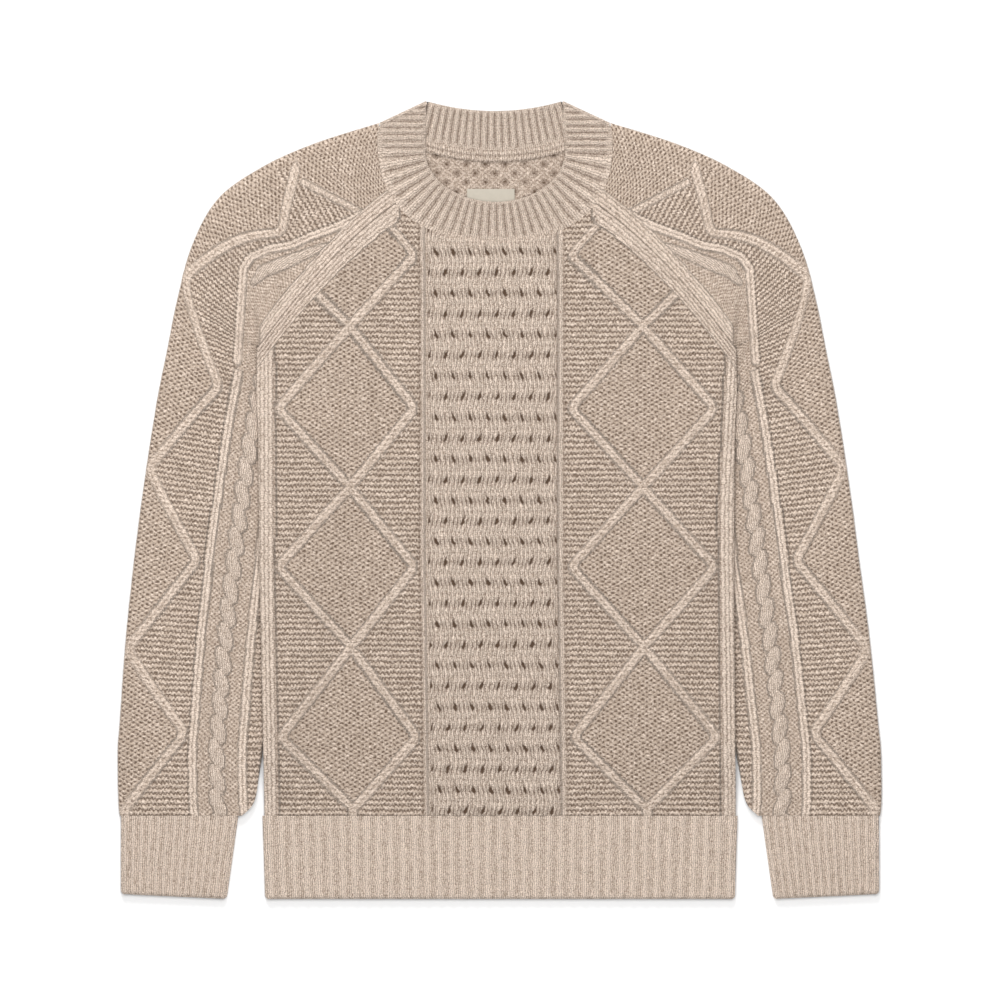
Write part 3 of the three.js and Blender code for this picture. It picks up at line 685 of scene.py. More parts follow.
def rung_ends(number, under):
    out, end = through(RUNGS[:, :2], number), through(RUNGS[:, 2:], number)
    x, y = end.T
    share = number / ARMPIT_RUNG
    high = number <= ARMPIT_RUNG
    under_x = BACK_NECK_X + (206 - BACK_NECK_X) * share
    high_x = np.where(under, under_x, x)
    high_y = np.where(under, back_raglan_y(high_x), raglan_y(high_x)) + 0.12
    x = np.where(high, high_x, np.where(number < ARMPIT_RUNG + 1, 206, x))
    y = np.where(high, high_y, y)
    return out, np.column_stack([x, y])


def seam_x_at(y):
    part = np.clip((NECK_MIDDLE - y) / NECK_DROP, 0, 1)
    low = NECK_HALF * (1 - part**NECK_POWER) ** (1 / NECK_POWER)
    inward = (SEAM_TIP[0] - NECK_HALF) / (SEAM_TIP[1] - NECK_MIDDLE)
    return np.where(y >= NECK_MIDDLE, NECK_HALF + (y - NECK_MIDDLE) * inward, low)


def sleeve_point(number, share, under):
    """A place on the sleeve, whose top edge is bent to the collar seam."""
    out, end = rung_ends(number, under)
    point = out + (end - out) * share[:, None]
    first_out, first_end = rung_ends(np.zeros_like(number), under)
    straight = first_out + (first_end - first_out) * share[:, None]
    fade = np.maximum(0, 1 - number / 2) ** 2
    if under:
        seam_y = back_seam_y(np.minimum(straight[:, 0], SEAM_TIP[0])) - 0.6
        target = np.column_stack([straight[:, 0], seam_y])
    else:
        target = np.column_stack([seam_x_at(straight[:, 1]) + 0.2, straight[:, 1]])
    return point + (target - straight) * fade[:, None]


# %% [markdown]
# ## Lines on the sleeve
# A ridge runs in a zigzag, which makes half diamonds at the fold. Plain columns bend
# over the shoulder, and a rope cable runs down between them to the cuff.

# %% Lines on the sleeve
straight_zigzag = table(
    (71, 2), (125, 57), (229.5, 2), (315, 50), (397.8, 2),
    (472.5, 54), (554.8, 2), (628, 57), (694, 4),
)
ROPE_INSET, OUTER_RIB, INNER_RIB = 85, 64, 107  # from the fold, below the shoulder
ROPE_START = 292  # along the sleeve, where the rope comes out from under the body


def zigzag(along):
    """Inset of the sleeve's ridge, with rounded corners."""
    return sum(straight_zigzag(along + step) for step in (-5, -2.5, 0, 2.5, 5)) / 5


# The plain columns that bend over the shoulder, and the smooth cable under them, as x and y
SHOULDER_RIB = [
    (223.2, 119.5), (219.7, 171.1), (218, 198.7), (210.9, 209), (195.4, 215.9),
    (176.3, 219.3), (159, 227), (137.4, 234.8), (115.8, 245.1), (91.6, 257.1),
]
SHOULDER_CABLE = [(209, 187), (200, 197), (175, 207), (142, 220.5)]
SHOULDER_RIDGE = [(166.8, 274.3), (140, 260), (113.5, 246)]


def path_distance(path, x, y):
    """Distance from a path of straight steps, positive on its left, and the share along it."""
    best = np.full(np.shape(x), 1e9)
    signed, share = best.copy(), best * 0
    for i, ((ax, ay), (bx, by)) in enumerate(zip(path, path[1:])):
        dx, dy = bx - ax, by - ay
        t = np.clip(((x - ax) * dx + (y - ay) * dy) / (dx * dx + dy * dy), 0, 1)
        px, py = x - ax - t * dx, y - ay - t * dy
        distance = np.hypot(px, py)
        nearer = distance < best
        best = np.where(nearer, distance, best)
        signed = np.where(nearer, distance * np.sign(dx * py - dy * px), signed)
        share = np.where(nearer, (i + t) / (len(path) - 1), share)
    return signed, share


def rope(along, off):
    """Plump slanting strands that overlap at each turn, and the painted shade lines between them."""
    turn, slant = 21.5, math.radians(20)
    near = np.round(along / turn)
    strands = []
    for step in (-1, 0, 1):
        a = along - (near + step) * turn
        lengthwise = a * math.cos(slant) + off * math.sin(slant)
        across = off * math.cos(slant) - a * math.sin(slant)
        strands.append(np.sqrt(np.clip(1 - (lengthwise / 14.5) ** 2 - (across / 6.2) ** 2, 0, 1)))
    _, middle, top = np.sort(strands, axis=0)
    return top, groove(top - middle, 0.11) * (middle > 0.02)


print(f"the zigzag stays {zigzag(315):.0f} mm or less from the fold at its third corner")

# %% [markdown]
# ## Relief of the sleeve
# Moss fills the side of the zigzag towards the fold, garter lies on the other side, and
# purl stitches make the quiet ground on which the rope stands out.

# %% Relief of the sleeve


def shoulder_lens(x, y, along):
    """The plump end of the cable that tapers under the raglan seam."""
    cable, share = path_distance(SHOULDER_CABLE, x, y)
    half = 5.2 * np.sin(math.pi * (0.12 + 0.8 * share)) + 0.6
    return np.sqrt(np.clip(1 - (cable / half) ** 2, 0, 1)) * (along < ROPE_START)


def sleeve_relief(x, y, along, inset):
    u, v = uneven(x, y, inset / WALE, along / COURSE)
    line = zigzag(along)
    steep = np.interp(along, np.arange(700), np.abs(np.gradient(zigzag(np.arange(700)))))
    distance = (inset - line) / np.sqrt(1 + steep**2)
    extra, extra_share = path_distance(SHOULDER_RIDGE, x, y)
    high = y > ARMPIT_Y
    seam = np.where(high & (x > NECK_X - 4), 0.7 * (y - raglan_y(x)), 99)
    seam_band = smooth((SEAM_BAND - seam) / 1.5) * high * smooth((ARMPIT_X + 1 - x) / 3)
    bend, _ = path_distance(SHOULDER_RIB, x, y)
    below = along > ROPE_START
    rib = np.where(below, inset - OUTER_RIB, bend)
    inner_rib = inset - INNER_RIB
    plain_in = smooth((rib + 3.5) / 1.5) * smooth((5 - inner_rib) / 1.5)
    plain = np.maximum(seam_band, plain_in)
    ridges = ridge(distance) * smooth((along - 76) / 10) * (1 - plain)
    fine_ridge = 0.6 * ridge(extra, 4.1) * (extra_share > 0) * (extra_share < 1) * (1 - plain)
    ridges = np.maximum(ridges, fine_ridge)
    outer_side = smooth((line - inset) / 1.6 + 0.5)
    toward_collar = smooth(-extra / 2 + 0.5) * (along < 150)
    is_moss = np.clip(np.maximum(outer_side * (along > 100), toward_collar), 0, 1)
    moss_share = is_moss * (1 - plain)
    garter_share = (1 - is_moss) * (1 - plain)
    heights = ground_height(x, y, u, v, moss_share, garter_share)
    heights = np.maximum(heights, RIDGE_HEIGHT * ridges)
    columns = column(rib + 1.9) + column(rib - 1.7)
    columns = columns + (column(inner_rib + 1.8) + column(inner_rib - 1.8)) * below
    heights = heights + COLUMN_HEIGHT * columns * (1 - seam_band)
    heights = heights + SEAM_HEIGHT * seam_band * seam_columns(seam)
    twist, crossing = rope(along, inset - ROPE_INSET)
    twist, crossing = twist * below, crossing * below
    lens = shoulder_lens(x, y, along) * (1 - seam_band)
    heights = heights + 2.0 * twist + 1.2 * lens
    twist = np.maximum(twist, lens)
    covered = np.clip(ridges * 1.8, 0, 1)
    on_ridge = covered > 0.6
    stitch_u = np.where(on_ridge, distance / 7.5 + 0.5, u)
    stitch_u = np.where(seam_band > 0.5, seam / SEAM_PITCH / 2, stitch_u)
    off_rope, off_columns = (1 - np.clip(2 * part, 0, 1) for part in (twist, columns))
    purl = plain_in * (1 - seam_band) * off_rope * off_columns * smooth((rib - 3) / 2)
    heights = heights + 0.5 * moss(u * 1.5, v) * purl
    knit_part, moss_part, garter_part = stitch_kinds(plain, covered, moss_share, garter_share)
    kind = (knit_part - 0.75 * purl, moss_part + 0.75 * purl, garter_part)
    stitch_u = np.where(purl > 0.5, u * 1.5, stitch_u)
    on_columns = (np.abs(rib) < 3.9) & (seam_band < 0.5)
    stitch_u = np.where(on_columns, rib / 7.2 + 0.5, stitch_u)
    on_columns = (np.abs(inner_rib) < 3.9) & below
    stitch_u = np.where(on_columns, inner_rib / 7.2 + 0.5, stitch_u)
    # Painted shade along the ridges' edges, in the rope's crossings and beside the rope, and painted
    # highlight on the ridges, the rope, the columns and the seam columns; the purl ground is a little
    # darker.
    edges = 0.04 * groove(np.abs(distance) - 4.8) * (1 - plain) * (along > 76)
    tone = edges - 0.15 * covered + 0.05 * purl + 0.5 * crossing - 0.12 * twist - 0.5 * columns
    tone = tone + 0.1 * groove(np.abs(inset - ROPE_INSET) - 6.8) * below * plain_in
    tone = np.where(seam_band > 0, seam_shade_and_highlight(seam), tone)
    return heights, (stitch_u, v), kind, np.clip(tone, -1, 1)


# %% [markdown]
# ## Sleeve shell
# Seen from the cuff a sleeve is a hairpin: its upper part, the round fold and its
# underside. The columns of points run round it, and the rows run along it.

# %% Place a sleeve
FOLD = np.array([
    (9, 5.9, 9, 3.1), (3, 5.2, 4.2, 3.05), (0.8, 4, 3.2, 3),
    (0, 2.4, 2.9, 2.95), (0.8, 0.7, 3.2, 2.88), (3, 0, 4.2, 2.8),
])  # inset and height of the outside, and of the inside
UPPER_PART, FOLD_PART = 0.78, 0.92  # shares of the columns


def sleeve_face(u, v, side, outside):
    number = rung_number(v * SLEEVE_LENGTH)
    along = v * SLEEVE_LENGTH
    out, end = rung_ends(number, False)
    length = np.hypot(*(out - end).T)
    upper = 1 - np.clip(u / UPPER_PART, 0, 1) * (1 - FOLD[0, 0] / length)
    turn = np.clip((u - UPPER_PART) / (FOLD_PART - UPPER_PART), 0, 1)
    fold = through(FOLD[:, :2] if outside else FOLD[:, 2:], turn * (len(FOLD) - 1))
    under = np.clip((u - FOLD_PART) / (1 - FOLD_PART), 0, 1)
    fold_inset = np.where(turn > 0, fold[:, 0], upper * length)
    share = fold_inset / length
    share = np.where(under > 0, share + (1 - share) * under, share)
    top_point, low_point = sleeve_point(number, share, False), sleeve_point(number, share, True)
    blend = smooth(np.minimum(under * 2, 1))[:, None]
    x, y = (top_point * (1 - blend) + low_point * blend).T
    on_top = turn <= 0
    lift = np.where(on_top & (number <= ARMPIT_RUNG + 0.01), sleeve_lift(x, y), 0)
    flat_z = TOP if outside else TOP - WALL
    z = np.where(on_top, flat_z + lift, fold[:, 1])
    z = np.where(under > 0, 0 if outside else WALL, z)
    if not outside:
        return {"place": (side * x, y, z)}
    inset = share * length
    heights, stitch, kind, tone = sleeve_relief(x, y, along, inset)
    clear = smooth((x - body_edge(np.minimum(y, ARMPIT_Y)) + 3) / 4)
    clear = np.where(number < ARMPIT_RUNG, 1, clear)
    turning = np.sin(math.pi * np.clip(turn, 0, 1))
    x = x + 0.55 * (heights - 0.5) * turning * smooth(along / 20)
    seam_gap = np.where(number <= ARMPIT_RUNG + 1, (1 - share) * length, 99)
    ends = smooth(along / 1.5 + 0.2) * smooth((SLEEVE_LENGTH - along) / 1.5 + 0.55)
    ends = ends * smooth(seam_gap + 0.3)
    facing = np.where(on_top, 1, smooth(1 - turn * 2.2)) * (under <= 0)
    z = z + heights * clear * ends * facing
    z = z - np.where(on_top, roll(seam_gap, 1, 0.3) + roll(along, 1, 0.15), 0)
    tone = tone * clear * facing
    return {"place": (side * x, y, z), "stitch": stitch, "kind": kind, "tone": tone}


def make_sleeve(name, side):
    return shell(
        name,
        (108, 520),
        (40, 90),
        lambda u, v: sleeve_face(u, 1 - v, side, True),
        lambda u, v: sleeve_face(u, 1 - v, side, False),
    )


sleeve_left = make_sleeve("Sleeve_left", -1)
sleeve_right = make_sleeve("Sleeve_right", 1)

# %% [markdown]
# ## Hem rib and cuffs
# These are tubes of one by one rib that were pressed flat, so their sides are folds.

# %% Section of a pressed tube
FOLD_REACH = 3.4  # width of cloth that turns at a fold


def tube_section(u, width, outside, upper_share):
    """Share across the tube and height, going over the top, down, under and up."""
    fold = FOLD_REACH
    radius_z = TOP / 2 if outside else GAP / 2
    inset = 0 if outside else WALL
    turn_share = 0.04
    low = upper_share + turn_share
    t = np.clip(u / upper_share, 0, 1)
    across = fold + (width - 2 * fold) * t
    z = np.full_like(across, TOP / 2 + radius_z)
    right = (u > upper_share) & (u <= low)
    angle = math.pi * np.clip((u - upper_share) / turn_share, 0, 1)
    bulge = fold - inset
    across = np.where(right, width - fold + bulge * np.sin(angle), across)
    z = np.where(right, TOP / 2 + radius_z * np.cos(angle), z)
    under = (u > low) & (u <= 1 - turn_share)
    t = np.clip((u - low) / (1 - turn_share - low), 0, 1)
    across = np.where(under, width - fold - (width - 2 * fold) * t, across)
    z = np.where(under, TOP / 2 - radius_z, z)
    left = u > 1 - turn_share
    angle = math.pi * np.clip((u - 1 + turn_share) / turn_share, 0, 1)
    across = np.where(left, fold - bulge * np.sin(angle), across)
    z = np.where(left, TOP / 2 - radius_z * np.cos(angle), z)
    return across, z, u <= upper_share


# %% [markdown]
# ## Ribs
# One by one rib stands in round ribs with hollows between them. A cosine round the tube
# gives them, and the rim at the bottom rolls in.

# %% Ribbed tubes


def ribbed_tube(name, lines, ribs, stitches, columns, rows, upper_share):
    """A tube through lines of left x, left y, right x, right y, from the top down."""
    lines = np.array(lines, float)
    at = np.linspace(0, 1, len(lines))

    def face(u, v, outside):
        left_x, left_y, right_x, right_y = (np.interp(1 - v, at, lines[:, i]) for i in range(4))
        width = np.hypot(right_x - left_x, right_y - left_y)
        across, z, on_top = tube_section(u, width, outside, upper_share)
        x = left_x + (right_x - left_x) * across / width
        y = left_y + (right_y - left_y) * across / width
        if not outside:
            return {"place": (x, y, z)}
        phase = across / width * ribs + 0.05 * grain(x, y, 7)
        bell = 0.5 - 0.5 * np.cos(2 * math.pi * phase)
        length = np.hypot(lines[0, 0] - lines[-1, 0], lines[0, 1] - lines[-1, 1])
        along = v * length
        ends = smooth(along / 2.5 + 0.3) * smooth((length - along) / 2.5 + 0.7)
        z = z + np.where(on_top, 1.6 * bell**2 * ends, 0)
        z = z - np.where(on_top, roll(along, 2.6, 1.8), 0)
        stitch = (phase * stitches, along / COURSE + 0.3 * grain(x, y, 5, 1))
        # Painted shade in the hollows between the ribs and painted highlight on them.
        tone = 0.15 * (1 - bell) ** 2 - 0.95 * bell**3
        middle_x, middle_y = (left_x + right_x) / 2, (left_y + right_y) / 2
        pinch = 1 - 2 * roll(along, 4, 2.2) / width
        x, y = middle_x + (x - middle_x) * pinch, middle_y + (y - middle_y) * pinch
        return {"place": (x, y, z), "stitch": stitch, "tone": np.where(on_top, tone, 0)}

    return shell(
        name,
        (columns, rows),
        (60, 8),
        lambda u, v: face(u, v, True),
        lambda u, v: face(u, v, False),
        ring=True,
    )


top = SEAM_Y - 0.1
HEM_LINES = [(-204.3, top, 204.3, top), (-203, top - 36, 203, top - 36), (-202, HEM_Y, 202, HEM_Y)]
hem_rib = ribbed_tube("Hem_rib", HEM_LINES, 39, 3, 620, 60, 0.86)
CUFF_LINES = [(225, top, 325.8, top), (230, -307.5, 326, -306), (235, HEM_Y, 326, -338.8)]
cuff_right = ribbed_tube("Cuff_right", CUFF_LINES, 14, 2, 220, 56, 0.72)
LEFT_LINES = [(-right, right_y, -left, left_y) for left, left_y, right, right_y in CUFF_LINES]
cuff_left = ribbed_tube("Cuff_left", LEFT_LINES, 14, 2, 220, 56, 0.72)

# %% [markdown]
# ## Collar
# A ribbed band set round the neck. Its front lies over its back, and it folds at the
# two shoulder tips.

# %% Collar curves


def oval(half_width, drop, middle, power, tip):
    """A smooth curve from one shoulder tip down round the neck to the other."""
    angle = np.linspace(0, math.pi, 29)
    cos, sin = np.cos(angle), np.sin(angle)
    x = np.sign(cos) * half_width * np.abs(cos) ** (2 / power)
    y = middle - drop * np.clip(sin, 0, 1) ** (2 / power)
    points = np.vstack([tip, np.column_stack([x, y]), (-tip[0], tip[1])])
    fine = through(points, np.linspace(0, len(points) - 1, 3000))
    length = np.concatenate([[0], np.cumsum(np.hypot(*np.diff(fine, axis=0).T))])
    return fine, length / length[-1]


EDGE_HALF, EDGE_DROP, EDGE_MIDDLE = 60, 43.5, 300  # the free edge's oval
SEAM_CURVE = oval(NECK_HALF, NECK_DROP, NECK_MIDDLE, NECK_POWER, SEAM_TIP)
EDGE_CURVE = oval(EDGE_HALF, EDGE_DROP, EDGE_MIDDLE, 2, EDGE_TIP)


def on_curve(curve, t):
    fine, share = curve
    return np.column_stack([np.interp(t, share, fine[:, 0]), np.interp(t, share, fine[:, 1])])

# %% [markdown]
# ## Ribs round the neck
# The ribs stand square to the free edge and fan out towards the seam. Each point takes
# its rib from the nearest place on the free edge.

# %% Ribs round the neck


def rib_guide():
    """The free edge as two straight lines and half an ellipse, which the ribs meet squarely."""
    angle = np.linspace(0, math.pi, 700)
    x, y = EDGE_HALF * np.cos(angle), EDGE_MIDDLE - EDGE_DROP * np.sin(angle)
    curve = np.column_stack([x, y])
    rise = np.linspace(EDGE_MIDDLE + 50, EDGE_MIDDLE + 0.2, 200)
    right = np.column_stack([np.full(200, float(EDGE_HALF)), rise])
    points = np.vstack([right, curve, right[::-1] * (-1, 1)])
    return points, np.concatenate([[0], np.cumsum(np.hypot(*np.diff(points, axis=0).T))])


GUIDE, GUIDE_LENGTH = rib_guide()


def edge_length_at(x, y):
    """How far along the free edge the point that is nearest to each place lies."""
    nearest = np.empty(len(x))
    for start in range(0, len(x), 4000):
        part = slice(start, start + 4000)
        gap = (x[part, None] - GUIDE[:, 0]) ** 2 + (y[part, None] - GUIDE[:, 1]) ** 2
        nearest[part] = GUIDE_LENGTH[np.argmin(gap, axis=1)]
    return nearest


print(f"the ribs are set out on {GUIDE_LENGTH[-1]:.0f} mm of free edge")

# %% [markdown]
# ## Two layers of the collar
# The band goes round: its front, a fold at the left tip, its back and a fold at the
# right tip. Near a tip both layers step back, and the fold bulges out between them.

# %% Two layers of the collar
RIB_PITCH = 5.7  # of the collar, at its free edge
COLLAR_PARTS = (0.64, 0.02, 0.32, 0.02)  # front, left fold, back, right fold
COLLAR_WIDTH = 36.0
FOLD_RUN = np.array([SEAM_TIP[0] - EDGE_TIP[0], EDGE_TIP[1] - SEAM_TIP[1]])
FOLD_RUN = FOLD_RUN / np.hypot(*FOLD_RUN)


def collar_face(u, v, outside):
    """v runs from the seam to the free edge."""
    front_end = COLLAR_PARTS[0]
    left_end = front_end + COLLAR_PARTS[1]
    back_end = left_end + COLLAR_PARTS[2]
    t = np.clip(u / front_end, 0, 1)
    seam, edge = on_curve(SEAM_CURVE, t), on_curve(EDGE_CURVE, t)
    back_t = np.clip((u - left_end) / COLLAR_PARTS[2], 0, 1) * 2 - 1
    back_seam_x, back_edge_x = back_t * SEAM_TIP[0], back_t * EDGE_TIP[0]
    back_seam = np.column_stack([back_seam_x, back_seam_y(np.abs(back_seam_x))])
    back_edge = np.column_stack([back_edge_x, 334.5 + 8.6 * back_t**2])
    is_front, is_back = u <= front_end, (u > left_end) & (u <= back_end)
    seam = np.where(is_front[:, None], seam, back_seam)
    edge = np.where(is_front[:, None], edge, back_edge)
    place = seam + (edge - seam) * v[:, None]
    angle_left = math.pi * np.clip((u - front_end) / COLLAR_PARTS[1], 0, 1)
    angle_right = math.pi * np.clip((u - back_end) / COLLAR_PARTS[3], 0, 1)
    bulge = FOLD_REACH if outside else 0.6
    front_z = TOP + 1.8 * v if outside else TOP - WALL + 1.8 * v
    back_z = np.zeros_like(v) if outside else np.full_like(v, WALL)
    turn = np.where(is_back | is_front, 0, np.where(u <= left_end, angle_left, angle_right))
    start = np.where(u <= left_end, front_z, back_z)
    stop = np.where(u <= left_end, back_z, front_z)
    round_z = (start + stop) / 2 + (start - stop) / 2 * np.cos(turn)
    z = np.where(is_front, front_z, np.where(is_back, back_z, round_z))
    near_front = smooth(1 - np.minimum(t, 1 - t) * 120) * is_front
    near_back = smooth(1 - (1 - np.abs(back_t)) * 30) * is_back
    shift = FOLD_REACH * np.maximum(near_front, near_back)
    turning = ~(is_front | is_back)
    shift = np.where(turning, FOLD_REACH - bulge * np.sin(turn), shift)
    side = np.where(place[:, 0] > 0, 1, -1)
    inward = np.column_stack([side * FOLD_RUN[1], np.full(len(u), FOLD_RUN[0])])
    place = place - inward * shift[:, None]
    front_phase = edge_length_at(place[:, 0], place[:, 1]) / RIB_PITCH
    lean_out = 1 + 0.16 * (1 - v)
    back_phase = place[:, 0] / RIB_PITCH / lean_out
    rib_front = 0.5 - 0.5 * np.cos(2 * math.pi * front_phase)
    rib_back = 0.5 - 0.5 * np.cos(2 * math.pi * back_phase)
    along = v * COLLAR_WIDTH
    ends = smooth(along / 9 + 0.25) * smooth((COLLAR_WIDTH - along) / 2.6)
    shows = smooth((0.9 - np.abs(back_t)) * 10)
    # Both layers get painted shade between the ribs and painted highlight on them; the back is a
    # little darker.
    if outside:
        z = z + np.where(is_front, 1.7 * rib_front**1.3 * ends, 0)
        drop = roll(along, 1, 0.12) + roll(COLLAR_WIDTH - along, 2.6, 1.6)
        z = z - np.where(is_front, drop, 0)
        tone = np.where(is_front, rib_shade_and_highlight(rib_front, ends), 0)
    else:
        z = z + np.where(is_back, 1.3 * rib_back**1.3 * ends * shows, 0)
        tone = np.where(is_back, rib_shade_and_highlight(rib_back, ends) + 0.06, 0)
    stitch_u = 2 * np.where(is_back, back_phase, front_phase)
    stitch_v = along / COURSE + 0.3 * grain(place[:, 0], place[:, 1], 5, 1)
    return {"place": (place[:, 0], place[:, 1], z), "stitch": (stitch_u, stitch_v), "tone": tone}


def rib_shade_and_highlight(bell, ends):
    """Painted shade between the ribs and painted highlight on them, and plain at the ends."""
    return (0.55 * (1 - bell) ** 2 - 0.6 * bell**2) * ends - 0.3 * (1 - ends)


collar = shell(
    "Collar",
    (560, 32),
    (560, 24),
    lambda u, v: collar_face(u, v, True),
    lambda u, v: collar_face(u, v, False),
    ring=True,
)

# %% [markdown]
# ## Linking strip
# A chain of linked stitches covers the collar's seam inside the neck. It is a narrow
# band with two rows of slanting links.

# %% Linking strip
LINK = 4.1  # length of one link


def strip_face(u, v, upper):
    x = -66 + 132 * u
    y = back_seam_y(np.abs(x)) - 9.2 + 9.8 * v
    chain = np.abs(np.sin(math.pi * x / LINK + 3.4 * np.abs(v - 0.5)))
    two_rows = np.abs(np.sin(2 * math.pi * np.clip(v, 0, 1))) ** 0.6
    z = WALL + GAP + (0.35 + two_rows * (0.6 + 0.5 * chain) if upper else 0 * x)
    # Painted shade between the links and between the two rows of links.
    tone = (0.35 * (1 - chain) + 0.4 * (1 - two_rows)) * upper
    return {"place": (x, y, z), "stitch": (x / LINK, v * 4), "tone": tone}


neck_tape = shell(
    "Linking_strip",
    (200, 12),
    (40, 2),
    lambda u, v: strip_face(u, v, True),
    lambda u, v: strip_face(u, v, False),
)

# %% [markdown]
# ## Label
# A small piece of woven ribbon is sewn below the strip. It is left bare, and its edges
# turn down a little, as folded ribbon does.

# %% Label
LABEL_WIDE, LABEL_TALL = 41, 24.5


def label_face(u, v, upper):
    x = -24.6 + LABEL_WIDE * u
    y = 243 + LABEL_TALL * v
    across, along = LABEL_WIDE * np.minimum(u, 1 - u), LABEL_TALL * np.minimum(v, 1 - v)
    edge = np.minimum(across, along)
    z = WALL + GAP + ((0.6 + 0.12 * wander(x, y, 9) - roll(edge, 0.8, 0.35)) if upper else 0 * x)
    return {"place": (x, y, z), "stitch": (x / 0.5, y / 0.5), "kind": (0, 0, 0)}


neck_label = shell(
    "Label",
    (82, 50),
    (8, 5),
    lambda u, v: label_face(u, v, True),
    lambda u, v: label_face(u, v, False),
)

# %% [markdown]
# ## Node sums
# A material can be a sum of many small nodes. This helper writes them as short lines,
# with numbers or other nodes as their inputs.

# %% A short way to write node sums


class Graph:
    """Adds nodes to a material, with numbers or other nodes' outputs as inputs."""

    def __init__(self, material):
        material.use_nodes = True
        self.tree = material.node_tree
        self.tree.nodes.clear()

    def put(self, kind, **settings):
        node = self.tree.nodes.new(kind)
        for key, value in settings.items():
            setattr(node, key, value)
        return node

    def join(self, value, socket):
        if isinstance(value, (int, float, tuple)):
            socket.default_value = value
        else:
            self.tree.links.new(value, socket)

    def math(self, operation, *values):
        node = self.put("ShaderNodeMath", operation=operation)
        for i, value in enumerate(values):
            self.join(value, node.inputs[i])
        return node.outputs[0]

    def mix(self, share, a, b):
        node = self.put("ShaderNodeMix", data_type="RGBA")
        for value, socket in ((share, node.inputs[0]), (a, node.inputs[6]), (b, node.inputs[7])):
            self.join(value, socket)
        return node.outputs[2]


def bell(g, value, half):
    """1 in the middle of a feature, falling to 0 beyond its half width."""
    part = g.math("DIVIDE", value, half)
    return g.math("EXPONENT", g.math("MULTIPLY", g.math("MULTIPLY", part, part), -1.0))


# %% [markdown]
# ## Stitches in the shader
# A stitch is too small for the mesh alone. The same waves as in the relief are worked
# out again, finer, from the stitch numbers that are stored on the mesh.

# %% Stitches in the shader


def stitch_height(g, u, v, share):
    """Height from 0 to 1 of knit, moss and garter stitches."""
    off = g.math("ABSOLUTE", g.math("SUBTRACT", g.math("FRACT", u), 0.5))
    leg = g.math("SINE", g.math("MULTIPLY", off, 2 * math.pi))
    loop = g.math("FRACT", g.math("SUBTRACT", v, g.math("MULTIPLY", off, 1.3)))
    round_loop = g.math("SINE", g.math("MULTIPLY", loop, math.pi))
    vees = g.math("MULTIPLY", leg, g.math("MULTIPLY_ADD", round_loop, 0.6, 0.4))
    wave_u = g.math("SINE", g.math("MULTIPLY", u, math.pi))
    late = g.math("MULTIPLY_ADD", off, 0.5, v)
    wave_v = g.math("SINE", g.math("MULTIPLY", late, math.pi))
    bumps = g.math("MULTIPLY_ADD", g.math("MULTIPLY", wave_u, wave_v), 0.5, 0.5)
    ripple = g.math("MULTIPLY", g.math("SINE", g.math("MULTIPLY", u, 2 * math.pi)), 0.16)
    row = g.math("ADD", g.math("MULTIPLY", v, COURSE / GARTER), ripple)
    wave = g.math("COSINE", g.math("MULTIPLY", row, 2 * math.pi))
    ridges = g.math("MULTIPLY_ADD", wave, 0.5, 0.5)
    parts = [g.math("MULTIPLY", a, b) for a, b in zip((vees, bumps, ridges), share)]
    return g.math("ADD", parts[0], g.math("ADD", parts[1], parts[2]))


def each_stitch(g, u, v):
    """A random value for each leg of each stitch."""
    cell = g.put("ShaderNodeCombineXYZ")
    g.join(g.math("FLOOR", g.math("MULTIPLY", u, 2.0)), cell.inputs[0])
    g.join(g.math("FLOOR", v), cell.inputs[1])
    random = g.put("ShaderNodeTexWhiteNoise", noise_dimensions="2D")
    g.join(cell.outputs[0], random.inputs["Vector"])
    return random.outputs["Value"]

# %% [markdown]
# ## Open work in the shader
# Holes get the deepest painted shade, then the slits between strands. Inside the neck the same trellis
# is seen as a lattice with painted shade in its gaps and between the two plies of each strand.

# %% Open work in the shader


